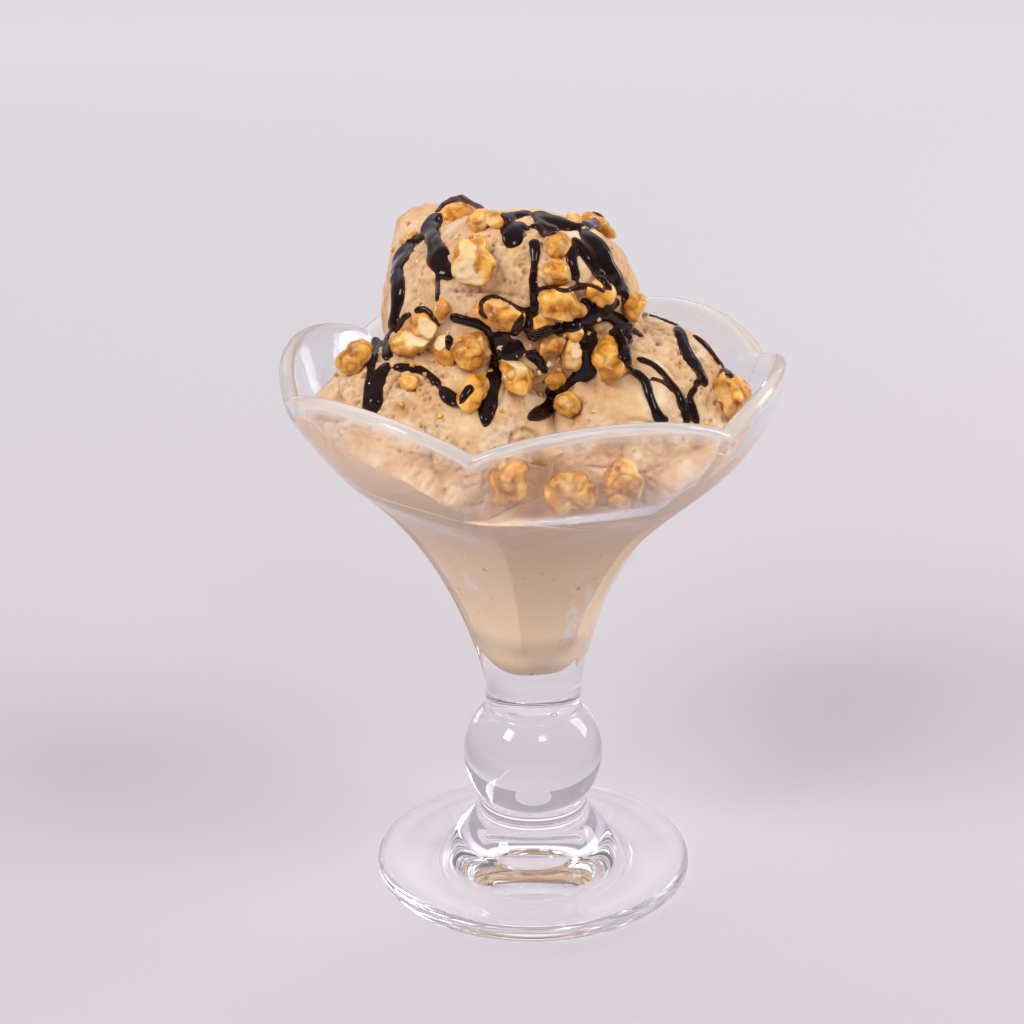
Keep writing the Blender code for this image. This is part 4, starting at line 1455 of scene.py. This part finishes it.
@dataclass(frozen=True)
class KernelForm:
    """How a kernel is folded, grooved and broken, as shares of its half sizes.

    Wrinkles, the torn edge of the skin and the rough face come as (millimetres, height).
    """

    thickness: float = 0.82
    core: float = 0.88
    fold_turns: float = 3.4
    most_phase: float = 6.0
    fold_height: float = 0.09
    unevenness: float = 0.1
    waves: int = 6
    groove_mm: float = 4.2
    groove_branch_mm: float = 1.7
    groove_branch: float = 0.25
    groove_width: float = 0.2
    groove_depth: float = 0.09
    # How dark the painted shade in the grooves is.
    groove_shade_strength: float = 0.5
    wrinkles: tuple[float, float] = (1.5, 0.018)
    fine_wrinkles: tuple[float, float] = (0.7, 0.006)
    broken_at: float = 0.66
    never_broken_at: float = 1.5
    broken_flat: float = 0.85
    broken_upwards: float = 0.5
    pale_sideways: float = 0.6
    pale_outwards: float = 0.9
    skin_edge: float = 0.1
    torn: tuple[float, float] = (1.4, 0.5)
    rough: tuple[float, float] = (1.1, 0.05)


@dataclass
class WalnutTopping:
    """All the walnut pieces, each a node of its own.

    Pale seeds are those of pieces that turn their broken face to the front. The others keep most
    of their skin, and skin_left is how pale the rest is.
    """

    finish: WalnutKernel = field(default_factory=WalnutKernel)
    form: KernelForm = KernelForm()
    large: float = 9.5
    highest: float = 166.5
    fine_grid: int = 36
    plain_grid: int = 24
    skin_left: float = 0.25
    first_seed: int = 100
    pale_seeds: tuple[int, ...] = (103, 105, 112, 113, 115, 116, 117, 118, 120, 124, 131, 134)

    def layout(self) -> list[tuple]:
        """Lays every piece out: those in the view where its line of sight meets a scoop.

        Returns:
            Name, centre, length direction, outward direction, size and seed of each.
        """
        rows = []
        for piece in WALNUTS:
            spot, out = first_hit(piece.across, piece.up, piece.side)
            right, up, _ = VIEW.axes(piece.side)
            turn = math.radians(piece.turn)
            along = right * math.cos(turn) + up * math.sin(turn)
            size = (piece.length, piece.width, piece.taper)
            rows.append((spot + out * piece.lift * piece.width, along, out, size))
        for piece in POCKET_WALNUTS:
            azimuth, turn = math.radians(piece.azimuth), math.radians(piece.turn)
            out = np.array((math.cos(azimuth), math.sin(azimuth), 0.0))
            side = np.array((-out[1], out[0], 0.0))
            along = side * math.cos(turn) + np.array((0.0, 0.0, math.sin(turn)))
            centre = out * piece.radius + (0.0, 0.0, piece.height)
            rows.append((centre, along, out, (piece.length, piece.width, 0.0)))
        return [(f"walnut_{n + 1:02d}", *row, self.first_seed + n) for n, row in enumerate(rows)]

    def kernel(self, size: Triple, seed: int) -> tuple[np.ndarray, ...]:
        """One broken kernel in its own frame: X along it, Y across, Z out of the ice cream.

        The ball's radius is the core, plus folds (|sin| along the length), a sine unevenness and
        wrinkles, less grooves where a smooth noise crosses zero. Past the broken plane the points
        are pressed back on it, where a noise leaves it rough.

        Args:
            size: length, width and taper.
            seed: seed of its folds and its broken face.

        Returns:
            Points, quads, and the attributes for the painted shade in the grooves and for bare faces.
        """
        length, width, taper = size
        form, pale = self.form, seed in self.pale_seeds
        draw = np.random.default_rng(seed)
        directions, quads = ball_grid(self.fine_grid if length > self.large else self.plain_grid)
        half = np.array((length, width, form.thickness * width)) / 2.0
        at = directions * half

        def noise(cell: float, offset: int) -> np.ndarray:
            """Noise of a cell in millimetres at each point, with a seed of its own."""
            return value_noise(at, cell, seed + offset)

        folds = np.abs(np.sin(directions[:, 0] * form.fold_turns + draw.uniform(0.0, form.most_phase)))
        wander = noise(form.groove_mm, 0) + form.groove_branch * noise(form.groove_branch_mm, 1)
        groove = np.exp(-((wander / form.groove_width) ** 2))
        radius = form.core + form.fold_height * folds - form.groove_depth * groove
        radius += form.unevenness * lumps(directions, seed, form.waves)
        radius += form.wrinkles[1] * noise(form.wrinkles[0], 2)
        radius += form.fine_wrinkles[1] * noise(form.fine_wrinkles[0], 4)
        points = directions * radius[:, None]
        broken = draw.normal(size=3) * (1.0, 1.0, form.broken_upwards)
        if pale:
            broken = form.pale_sideways * broken + (0.0, 0.0, form.pale_outwards)
        broken /= np.linalg.norm(broken)
        past = points @ broken - (form.broken_at if taper == 0.0 else form.never_broken_at)
        points -= np.clip(past, 0.0, None)[:, None] * form.broken_flat * broken
        bare = np.clip(past / form.skin_edge + form.torn[1] * noise(form.torn[0], 5), 0.0, 1.0)
        bare *= past > 0.0
        points += (form.rough[1] * noise(form.rough[0], 3) * bare)[:, None] * broken
        points[:, 1:] *= (1.0 - taper * points[:, 0])[:, None]
        # Painted shade in the grooves of the skin, none on the broken faces.
        groove_shade = form.groove_shade_strength * groove * (1.0 - bare)
        return points * half, quads, groove_shade, bare * (1.0 if pale else self.skin_left)

    def build(self) -> list[tuple[np.ndarray, np.ndarray]]:
        """Builds every piece in its place, none of them above the highest point of the part.

        Returns:
            Points and quads of each, for running the sauce over them.
        """
        material = self.finish.make()
        shapes = []
        for node, centre, along, out, size, seed in self.layout():
            local, quads, groove_shade, bare = self.kernel(size, seed)
            along = along - out * float(along @ out)
            along /= np.linalg.norm(along)
            axes = np.stack((along, np.cross(out, along), out))
            points = centre + local @ axes
            points[:, 2] -= max(0.0, points[:, 2].max() - self.highest)
            make_piece(
                node + "_kernel", points, quads.tolist(), material, (node,),
                {"groove_shade": groove_shade, "bare": bare},
            )
            shapes.append((points, quads))
        return shapes


@dataclass
class WalnutCrumbs:
    """Small crumbs of walnut that fell beside the pieces, as one piece of real mesh.

    They lie from nearest to furthest, in lengths of the piece they fell from.
    """

    crumbs: int = 90
    seed: int = 41
    lumps_seed: int = 500
    waves: int = 5
    grid: int = 6
    smallest: float = 0.28
    largest: float = 0.62
    nearest: float = 0.55
    furthest: float = 1.0
    unevenness: float = 0.28
    stands_out: float = 0.7
    squash: tuple[float, float] = (0.75, 1.2)
    bare_share: float = 0.4
    finish: WalnutKernel = field(default_factory=WalnutKernel)

    def build(self) -> Any:
        """Scatters uneven little balls round the walnut pieces, each partly sunk in the ice cream.

        A crumb whose line of sight passes beside the scoops is left out.

        Returns:
            The crumbs.
        """
        draw = np.random.default_rng(self.seed)
        directions, quads = ball_grid(self.grid)
        places, faces, bare = [], [], []
        for number in range(self.crumbs):
            near = WALNUTS[int(draw.integers(len(WALNUTS)))]
            turn = draw.uniform(0.0, 2.0 * math.pi)
            reach = near.length * draw.uniform(self.nearest, self.furthest)
            across, up = near.across + reach * math.cos(turn), near.up + reach * math.sin(turn)
            spot, out = first_hit(across, up, near.side)
            size = draw.uniform(self.smallest, self.largest)
            if min(scoop.clearance(spot[None, :])[0] for scoop in SCOOPS) > 0.0:
                continue
            uneven = 1.0 + self.unevenness * lumps(directions, self.lumps_seed + number, self.waves)
            ball = size * directions * uneven[:, None] * draw.uniform(*self.squash, 3)
            places.append(spot + out * size * self.stands_out + ball)
            faces.append(quads + len(faces) * len(directions))
            bare.append(np.full(len(directions), float(draw.random() < self.bare_share)))
        bare = np.concatenate(bare)
        return make_piece(
            "walnut_crumbs", np.concatenate(places), np.concatenate(faces).tolist(),
            self.finish.make(), (), {"groove_shade": np.zeros(len(bare)), "bare": bare},
        )


# The chocolate sauce.


@dataclass(frozen=True)
class Run:
    """A run of sauce: its width and its route, as (across, up) places in the layout view."""

    width: float
    route: Profile
    side: Side = Side.FRONT


RUNS = (
    Run(1.3, ((-22.4, 68.9), (-20.6, 71.2), (-17.6, 72.3), (-13.9, 73.0), (-12.2, 71.9), (-11.1, 69.8))),
    Run(2.6, ((-21.3, 69.3), (-22.4, 66.1), (-24.5, 63.8), (-27.3, 62.2), (-29.4, 61.2))),
    Run(6.6, ((-27.4, 61.2), (-29.4, 59.8), (-30.3, 57.8), (-30.8, 55.0))),
    Run(3.4, ((-31.7, 55.9), (-31.2, 52.7), (-31.2, 49.0), (-31.9, 45.3), (-32.4, 41.6))),
    Run(3.8, ((-22.1, 69.2), (-23.4, 65.6), (-22.6, 61.2), (-21.2, 57.0), (-18.4, 53.8))),
    Run(0.9, ((-22.2, 57.8), (-22.0, 53.6), (-22.2, 48.3))),
    Run(6.8, ((-6.2, 67.0), (-4.6, 64.2), (-5.5, 60.8))),
    Run(4.6, ((-2.1, 67.0), (-3.9, 64.7))),
    Run(3.0, ((-7.6, 67.7), (-4.2, 68.4), (0.0, 69.1))),
    Run(1.8, ((0.0, 68.9), (1.8, 66.6), (3.5, 65.4), (6.2, 65.4))),
    Run(3.2, ((0.0, 69.1), (3.9, 67.3), (7.6, 66.1), (10.9, 65.9), (13.2, 66.6), (14.8, 67.9))),
    Run(1.2, ((-0.9, 65.6), (0.7, 66.1), (3.0, 63.8), (6.0, 64.9))),
    Run(1.8, ((0.2, 63.3), (0.5, 58.7), (0.0, 54.3), (0.2, 49.9), (0.5, 46.2))),
    Run(2.0, ((9.0, 63.6), (11.8, 60.1), (14.1, 56.6), (15.9, 53.8), (18.3, 51.1))),
    Run(4.0, ((10.9, 65.4), (13.8, 62.2), (16.4, 57.4), (19.0, 53.6), (20.8, 50.8), (21.4, 48.3))),
    Run(2.2, ((9.0, 61.9), (9.0, 57.3), (10.2, 53.2))),
    Run(1.1, ((0.5, 51.1), (3.2, 52.0), (7.6, 51.1), (11.1, 52.2), (13.9, 52.2), (16.9, 50.6))),
    Run(2.6, ((11.6, 49.7), (12.7, 46.9), (16.4, 47.1), (20.1, 48.8))),
    Run(1.3, ((-12.5, 47.8), (-10.4, 49.5), (-5.5, 48.3), (-2.3, 46.5), (0.5, 46.7))),
    Run(1.0, ((-12.2, 48.3), (-11.8, 45.8), (-10.2, 44.6))),
    Run(1.9, ((-19.4, 45.3), (-16.2, 44.4), (-12.7, 43.4), (-9.9, 41.8))),
    Run(6.2, ((-10.0, 41.0), (-7.4, 39.4), (-4.7, 37.9), (-1.8, 37.4))),
    Run(2.4, ((-1.6, 37.2), (0.9, 35.4), (3.2, 31.9))),
    Run(2.2, ((-2.3, 45.8), (-3.5, 43.2), (-4.9, 40.7))),
    Run(2.6, ((-1.2, 40.0), (3.0, 41.8), (7.4, 42.8), (11.8, 44.1))),
    Run(2.8, ((11.6, 43.4), (14.1, 45.3), (17.1, 45.5), (20.1, 44.1), (22.9, 42.3))),
    Run(1.5, ((22.4, 42.5), (25.7, 40.4))),
    Run(2.4, ((0.7, 46.9), (-0.7, 43.9), (-1.6, 41.1))),
    Run(3.6, ((12.2, 43.2), (12.7, 39.3), (13.2, 35.1), (10.9, 31.4), (7.9, 29.4))),
    Run(3.2, ((8.6, 29.8), (5.3, 28.0), (3.9, 25.7))),
    Run(3.0, ((4.6, 26.8), (3.5, 24.0), (0.7, 22.4), (-1.6, 21.3))),
    Run(2.2, ((17.3, 41.8), (19.6, 40.7), (20.8, 38.1), (21.5, 35.1), (23.1, 32.4))),
    Run(1.2, ((18.3, 42.1), (21.0, 41.8), (22.6, 40.0), (21.7, 37.7), (21.7, 35.6))),
    Run(2.0, ((22.9, 32.8), (25.7, 30.5), (27.0, 26.8), (28.4, 23.3), (29.8, 20.3))),
    Run(2.6, ((28.9, 22.6), (30.7, 19.9))),
    Run(1.6, ((23.8, 35.6), (27.7, 34.0), (30.7, 31.2), (33.3, 28.0), (34.7, 24.3), (35.8, 20.1))),
    Run(0.9, ((27.0, 31.0), (30.3, 29.8), (32.8, 27.5))),
    Run(2.7, ((33.5, 43.0), (34.7, 38.8), (36.1, 35.4), (37.9, 33.0), (39.5, 30.3), (39.8, 28.7))),
    Run(3.4, ((37.0, 30.3), (38.6, 29.1))),
    Run(1.8, ((37.9, 29.1), (36.3, 26.8), (37.0, 23.6), (38.1, 19.9))),
    Run(0.8, ((25.0, 46.0), (28.4, 45.1), (31.9, 43.7), (34.0, 42.8))),
    Run(1.4, ((36.7, 41.1), (39.8, 38.4), (42.1, 35.6), (44.1, 33.3))),
    Run(1.8, ((44.1, 33.3), (46.0, 30.7))),
    Run(1.4, ((-27.7, 45.8), (-29.6, 45.1), (-30.7, 43.2), (-31.9, 41.1))),
    Run(1.2, ((-27.7, 46.2), (-25.2, 46.9), (-23.1, 45.1), (-21.5, 42.8))),
    Run(1.8, ((-32.4, 42.1), (-33.5, 40.4), (-33.7, 37.4), (-33.3, 34.7))),
    Run(
        2.2,
        (
            (-36.5, 40.7), (-36.3, 38.1), (-37.2, 35.6), (-37.4, 32.4), (-37.9, 28.0), (-38.1, 24.5),
            (-37.7, 21.0),
        ),
    ),
    Run(2.6, ((-33.3, 34.7), (-35.1, 31.9), (-36.1, 28.7), (-36.5, 25.4), (-36.7, 22.0))),
    Run(2.0, ((-32.6, 33.5), (-29.4, 33.3), (-26.1, 32.8), (-23.3, 31.0), (-21.5, 28.7))),
    Run(3.2, ((-21.5, 28.9), (-19.4, 26.6), (-17.1, 24.7))),
    Run(1.8, ((-17.1, 24.7), (-15.5, 27.3), (-13.9, 29.4))),
    Run(1.6, ((-19.4, 41.1), (-19.4, 37.0))),
    Run(3.0, ((-8.6, 36.5), (-8.8, 32.6), (-9.7, 28.2), (-10.6, 23.6), (-11.1, 19.4))),
    Run(1.4, ((-16.4, 43.9), (-12.7, 43.7), (-10.4, 41.8), (-9.2, 39.3))),
    Run(3.2, ((-14.0, 66.0), (-17.0, 58.0), (-15.0, 50.0)), Side.BEHIND),
    Run(3.0, ((6.0, 66.0), (2.0, 58.0), (5.0, 51.0)), Side.BEHIND),
    Run(3.2, ((-18.0, 40.0), (-21.0, 33.0), (-19.0, 26.0)), Side.BEHIND),
    Run(3.0, ((8.0, 37.0), (16.0, 33.0), (19.0, 25.0)), Side.BEHIND),
)


def eased(values: np.ndarray) -> np.ndarray:
    """Each value averaged with its two neighbours, which count half as much as it does."""
    padded = np.pad(values, 1, mode="edge")
    return (padded[:-2] + 2.0 * padded[1:-1] + padded[2:]) / 4.0


@dataclass
class SaucePour:
    """Runs of sauce laid on the ice cream and over the walnut pieces, flowed into one another.

    Widen is how much a poured run spreads, and swells are (share of its width, millimetres).
    """

    finish: ChocolateSauce = field(default_factory=ChocolateSauce)
    spacing: float = 0.4
    fewest: int = 5
    settle_steps: int = 3
    most_settled: float = 0.02
    ease_steps: int = 4
    lean: float = 0.25
    sides: int = 16
    thickness: float = 0.46
    most_thick: float = 1.25
    widen: float = 1.22
    swells: Profile = ((0.17, 2.9), (0.1, 1.3))
    most_phase: float = 6.3
    end_reach: tuple[float, float] = (0.5, 1.1)
    least_cap: float = 0.03
    tip: float = 0.05
    thin_under: float = 0.5
    voxel: float = 0.31
    melt_ease: float = 0.5
    melt_steps: int = 5
    highest: float = 165.4
    batch: int = 4000

    def path(self, run: Run, ground: BVHTree) -> tuple[np.ndarray, np.ndarray]:
        """A run's centre line on what it lies on.

        Lines of sight are cast at even places along the route. The distance along them is eased
        over its neighbours and hardly grows by it, so the sauce bridges hollows. The way out leans
        a little to the viewer.

        Args:
            run: the run.
            ground: what it may lie on, in metres.

        Returns:
            Its places and the way out at each of them. Both are empty if it meets nothing.
        """
        knots = np.asarray(run.route, dtype=float)
        length = float(np.linalg.norm(np.diff(knots, axis=0), axis=1).sum())
        places = curve_through(knots, max(self.fewest, int(length / self.spacing)))
        starts, ways, depth, outs = [], [], [], []
        for across, up_by in places:
            eye, direction = VIEW.sight_line(across, up_by, run.side)
            hit = ground.ray_cast(Vector(eye * MM), Vector(direction))
            starts.append(eye)
            ways.append(direction)
            depth.append(np.nan if hit[0] is None else hit[3] / MM)
            outs.append((0.0, 0.0, 0.0) if hit[0] is None else tuple(hit[1]))
        starts, ways, depth, outs = map(np.array, (starts, ways, depth, outs))
        known = ~np.isnan(depth)
        if known.sum() < FEWEST_PLACES:
            return np.empty((0, 3)), np.empty((0, 3))
        depth = np.interp(np.arange(len(depth)), np.nonzero(known)[0], depth[known])
        for _ in range(self.settle_steps):
            depth = np.minimum(depth, eased(depth) + self.most_settled)
        for _ in range(self.ease_steps):
            depth = eased(depth)
            padded = np.pad(outs, ((2, 2), (0, 0)), mode="edge")
            outs = sum(padded[k : k + len(outs)] for k in range(5)) / 5.0
        outs = outs - self.lean * ways
        outs /= np.linalg.norm(outs, axis=1)[:, None]
        path = starts + ways * depth[:, None]
        path[:, 2] = np.minimum(path[:, 2], self.highest)
        return path, outs

    def tube(self, path: np.ndarray, out: np.ndarray, width: float, seed: int) -> tuple:
        """A run round a path: an oval section, flatter the wider it is, half sunk in the ground.

        Its half width swells and narrows slowly along the run. Both ends close as an ellipse does,
        over a length of its own. Its height is T (1 - exp(-width thickness / T)), with T the most.

        Args:
            path: places along the run.
            out: way out at each of them.
            width: width of the run.
            seed: seed of its swells and ends.

        Returns:
            Points and faces.
        """
        along = np.gradient(path, axis=0)
        along /= np.linalg.norm(along, axis=1)[:, None]
        across = np.cross(along, out)
        across /= np.linalg.norm(across, axis=1)[:, None]
        rise = np.cross(across, along)
        run = np.concatenate(([0.0], np.cumsum(np.linalg.norm(np.diff(path, axis=0), axis=1))))
        draw = np.random.default_rng(seed)
        phases = draw.uniform(0.0, self.most_phase, 3)
        swell = 1.0 + sum(
            share * np.sin(run / wave + phase) for (share, wave), phase in zip(self.swells, phases)
        )
        reach = width * draw.uniform(*self.end_reach, 2)
        closest = np.minimum(
            np.clip(run / reach[0], 0.0, 1.0), np.clip((run[-1] - run) / reach[1], 0.0, 1.0)
        )
        cap = np.sqrt(np.clip(1.0 - (1.0 - closest) ** 2, self.least_cap, 1.0))
        half = 0.5 * width * swell * cap
        tall = self.most_thick * (1.0 - np.exp(-2.0 * half * self.thickness / self.most_thick))
        tall *= np.sqrt(cap)
        turn = np.arange(self.sides) * 2.0 * math.pi / self.sides
        rings = (
            path[:, None, :]
            + across[:, None, :] * (half[:, None] * np.cos(turn))[..., None]
            - rise[:, None, :] * (tall[:, None] * np.sin(turn))[..., None]
        )
        return rings_skin(rings, path[0] - along[0] * self.tip, path[-1] + along[-1] * self.tip)

    def thinness(self, points: np.ndarray, paths: np.ndarray, outs: np.ndarray) -> np.ndarray:
        """How thin the sauce is: one less the height over the nearest place of a run, in shares.

        Args:
            points: points of the sauce.
            paths: places along all the runs.
            outs: way out at each of them.

        Returns:
            1 at each point where the sauce is thin, falling to 0 where it stands full height.
        """
        thin = np.empty(len(points))
        for part in np.array_split(np.arange(len(points)), 1 + len(points) // self.batch):
            apart = ((points[part, None, :] - paths[None, :, :]) ** 2).sum(axis=2)
            nearest = apart.argmin(axis=1)
            height = ((points[part] - paths[nearest]) * outs[nearest]).sum(axis=1)
            thin[part] = 1.0 - np.clip(height / self.thin_under, 0.0, 1.0)
        return thin

    def melt(self, piece: Any) -> Any:
        """Melts the runs together on a fine voxel grid and smooths the joins.

        Args:
            piece: the runs as one object, which takes the new mesh.

        Returns:
            The new mesh.
        """
        join = piece.modifiers.new("melt together", "REMESH")
        join.mode = "VOXEL"
        join.voxel_size = self.voxel * MM
        ease = piece.modifiers.new("ease", "SMOOTH")
        ease.factor = self.melt_ease
        ease.iterations = self.melt_steps
        graph = bpy.context.evaluated_depsgraph_get()
        melted = bpy.data.meshes.new_from_object(piece.evaluated_get(graph))
        piece.modifiers.clear()
        piece.data = melted
        melted.shade_smooth()
        return melted

    def build(self, grounds: list[tuple[np.ndarray, np.ndarray]]) -> Any:
        """Lays every run and melts them together.

        Args:
            grounds: points and quads of all that the sauce may lie on.

        Returns:
            The sauce as one piece.
        """
        counts = np.cumsum([0] + [len(points) for points, _ in grounds])
        corners = np.concatenate([points for points, _ in grounds]) * MM
        quads = np.concatenate([faces + start for (_, faces), start in zip(grounds, counts)])
        ground = BVHTree.FromPolygons(corners.tolist(), quads.tolist())
        all_points, all_faces, laid, total = [], [], [], 0
        for number, run in enumerate(RUNS):
            path, out = self.path(run, ground)
            if len(path) < FEWEST_PLACES:
                LOG.info("run %d meets nothing", number)
                continue
            points, faces = self.tube(path, out, run.width * self.widen, number)
            all_points.append(points)
            all_faces += [[index + total for index in face] for face in faces]
            laid.append((path, out))
            total += len(points)
        piece = make_piece(
            "chocolate_sauce_runs", np.concatenate(all_points), all_faces, self.finish.make()
        )
        melted = self.melt(piece)
        points = np.empty(len(melted.vertices) * 3, dtype=np.float32)
        melted.vertices.foreach_get("co", points)
        thin = self.thinness(
            points.reshape(-1, 3) / MM, *(np.concatenate(parts) for parts in zip(*laid))
        )
        layer = melted.attributes.new("thin", "FLOAT", "POINT")
        layer.data.foreach_set("value", thin.astype(np.float32))
        LOG.info("sauce: %d points", len(melted.vertices))
        return piece


# The studio, in metres.


@dataclass
class Studio:
    """Pale paper floor, a soft sky of light, two broad suns, three soft windows and the camera.

    The suns give the two soft shadows and no mirror image. The windows give the highlights on the
    glass and the sauce. The sky is dim in front, pale behind as paper that sweeps up, and has a
    bright band behind and above, which the rim of the glass picks up. A sun is (name, place,
    colour) and a window (name, place, size, watts).
    """

    floor_reach: float = 12.0
    floor_gap: float = 0.0003
    focal_pixels: float = 2300.0
    image_pixels: float = 1024.0
    axis_pixel: float = 533.0
    sensor_mm: float = 36.0
    distance: float = 0.5315
    look_height: float = 0.0923
    tilt: float = 21.0
    clip_start: float = 0.01
    lit_height: float = 0.1
    room: tuple[tuple[float, str], ...] = (
        (0.0, "#8A848D"), (0.4, "#9C969F"), (0.56, "#DAD4DC"), (1.0, "#E9E0EB"),
    )
    overhead: str = "#C9C4CD"
    overhead_range: tuple[float, float] = (0.45, 0.9)
    room_strength: float = 0.57
    band_strength: float = 1.3
    band_rise: tuple[float, float] = (0.42, 0.56)
    band_behind: tuple[float, float] = (0.25, 0.7)
    sun_strength: float = 1.45
    sun_spread: float = 32.0
    suns: tuple[tuple[str, Triple, str], ...] = (
        ("key_left_front", (-1.1, -1.4, 1.55), "#FBFFF6"), ("fill_right", (1.3, -0.6, 1.3), "#F6FFF8"),
    )
    windows: tuple[tuple[str, Triple, tuple[float, float], float], ...] = (
        ("window_left", (-0.75, -0.5, 0.8), (0.3, 0.34), 3.4),
        ("window_front", (0.35, -0.9, 0.95), (0.3, 0.2), 1.4),
        ("window_right", (0.9, 0.35, 0.45), (0.3, 0.6), 2.6),
    )
    clear_bounces: int = 40
    matt_bounces: int = 5
    paper: StudioPaper = field(default_factory=StudioPaper)

    def floor(self) -> None:
        """Adds the floor as one flat sheet."""
        reach, low = self.floor_reach, -self.floor_gap
        corners = [(x * reach, y * reach, low) for x, y in ((-1, -1), (1, -1), (1, 1), (-1, 1))]
        mesh = bpy.data.meshes.new("paper_floor")
        mesh.from_pydata(corners, [], [(0, 1, 2, 3)])
        mesh.materials.append(self.paper.make())
        sheet = bpy.data.objects.new("paper_floor", mesh)
        bpy.context.collection.objects.link(sheet)

    def sky(self) -> None:
        """Sets the world: its colour by direction, and its strength with the band behind."""
        world = bpy.data.worlds.new("room_light")
        bpy.context.scene.world = world
        world.use_nodes = True
        tree = world.node_tree
        place = add_node(tree, "ShaderNodeTexCoord").outputs["Generated"]
        way = add_node(tree, "ShaderNodeSeparateXYZ", links={0: place})
        depth, above, high, behind = (
            add_node(
                tree, "ShaderNodeMapRange", {"From Min": low, "From Max": full, "To Max": most},
                {"Value": way.outputs[axis]},
            ).outputs[0]
            for axis, (low, full), most in (
                ("Y", (-1.0, 1.0), 1.0), ("Z", self.overhead_range, 1.0),
                ("Z", self.band_rise, 1.0), ("Y", self.band_behind, self.band_strength),
            )
        )
        colour = add_node(
            tree, "ShaderNodeMix", {"data_type": "RGBA", OVER: linear(self.overhead)},
            {SHARE: above, UNDER: ramp(tree, depth, self.room)},
        )
        strength = add_node(
            tree, "ShaderNodeMath", {"operation": "MULTIPLY_ADD", PLUS: self.room_strength},
            {VALUE: high, TIMES: behind},
        )
        connect(
            tree, tree.nodes["Background"],
            {"Color": colour.outputs[MIXED], "Strength": strength.outputs[0]},
        )

    def aim(self, item: Any, place: Triple) -> None:
        """Puts a lamp at a place and turns it to the dish.

        Args:
            item: the lamp.
            place: its place in metres.
        """
        item.location = place
        way = Vector((0.0, 0.0, self.lit_height)) - Vector(place)
        item.rotation_euler = way.to_track_quat("-Z", "Y").to_euler()
        bpy.context.collection.objects.link(item)

    def sun(self, name: str, place: Triple, strength: float, spread: float, colour: str) -> None:
        """Adds a far light that is even over the whole floor and has no mirror image.

        Args:
            name: its name.
            place: where it shines from.
            strength: its strength.
            spread: degrees that it takes up in the sky, which make its shadows soft.
            colour: its sRGB hex colour.
        """
        lamp = bpy.data.lights.new(name, "SUN")
        lamp.angle = math.radians(spread)
        lamp.energy = strength
        lamp.color = linear(colour)[:3]
        item = bpy.data.objects.new(name, lamp)
        item.visible_glossy = False
        item.visible_transmission = False
        self.aim(item, place)

    def window(self, name: str, place: Triple, size: tuple[float, float], watts: float) -> None:
        """Adds a near rectangular light, whose mirror image shows on what is wet or polished.

        Args:
            name: its name.
            place: its middle.
            size: its width and height.
            watts: its power.
        """
        lamp = bpy.data.lights.new(name, "AREA")
        lamp.shape = "RECTANGLE"
        lamp.size, lamp.size_y = size
        lamp.energy = watts
        self.aim(bpy.data.objects.new(name, lamp), place)

    def camera(self) -> None:
        """Adds the camera: a long lens a little above the dish, level, aimed at its axis."""
        lens = bpy.data.cameras.new("front_camera")
        lens.sensor_width = self.sensor_mm
        lens.lens = self.focal_pixels / self.image_pixels * self.sensor_mm
        lens.shift_x = (self.image_pixels / 2.0 - self.axis_pixel) / self.image_pixels
        lens.clip_start = self.clip_start
        lens.dof.use_dof = False
        item = bpy.data.objects.new("front_camera", lens)
        tilt = math.radians(self.tilt)
        item.location = (
            0.0, -self.distance * math.cos(tilt), self.look_height + self.distance * math.sin(tilt)
        )
        item.rotation_euler = (math.pi / 2.0 - tilt, 0.0, 0.0)
        bpy.context.collection.objects.link(item)
        bpy.context.scene.camera = item

    def build(self) -> None:
        """Sets up the whole studio."""
        self.floor()
        self.sky()
        for name, place, colour in self.suns:
            self.sun(name, place, self.sun_strength, self.sun_spread, colour)
        for name, place, size, watts in self.windows:
            self.window(name, place, size, watts)
        self.camera()
        view = bpy.context.scene.view_settings
        view.view_transform = "Standard"
        view.look = "None"
        cycles = bpy.context.scene.cycles
        cycles.max_bounces = self.clear_bounces
        cycles.glossy_bounces = self.clear_bounces
        cycles.transmission_bounces = self.clear_bounces
        cycles.diffuse_bounces = self.matt_bounces


def main() -> None:
    """Builds every piece in order."""
    logging.basicConfig(level=logging.INFO, format="%(message)s")
    dish = GlassDish()
    dish.build()
    ice_cream = IceCream(dish)
    ice_cream.build_filling()
    grounds = ice_cream.build_scoops()
    grounds += WalnutTopping().build()
    WalnutCrumbs().build()
    SaucePour().build(grounds)
    Studio().build()


if __name__ == "__main__":
    main()
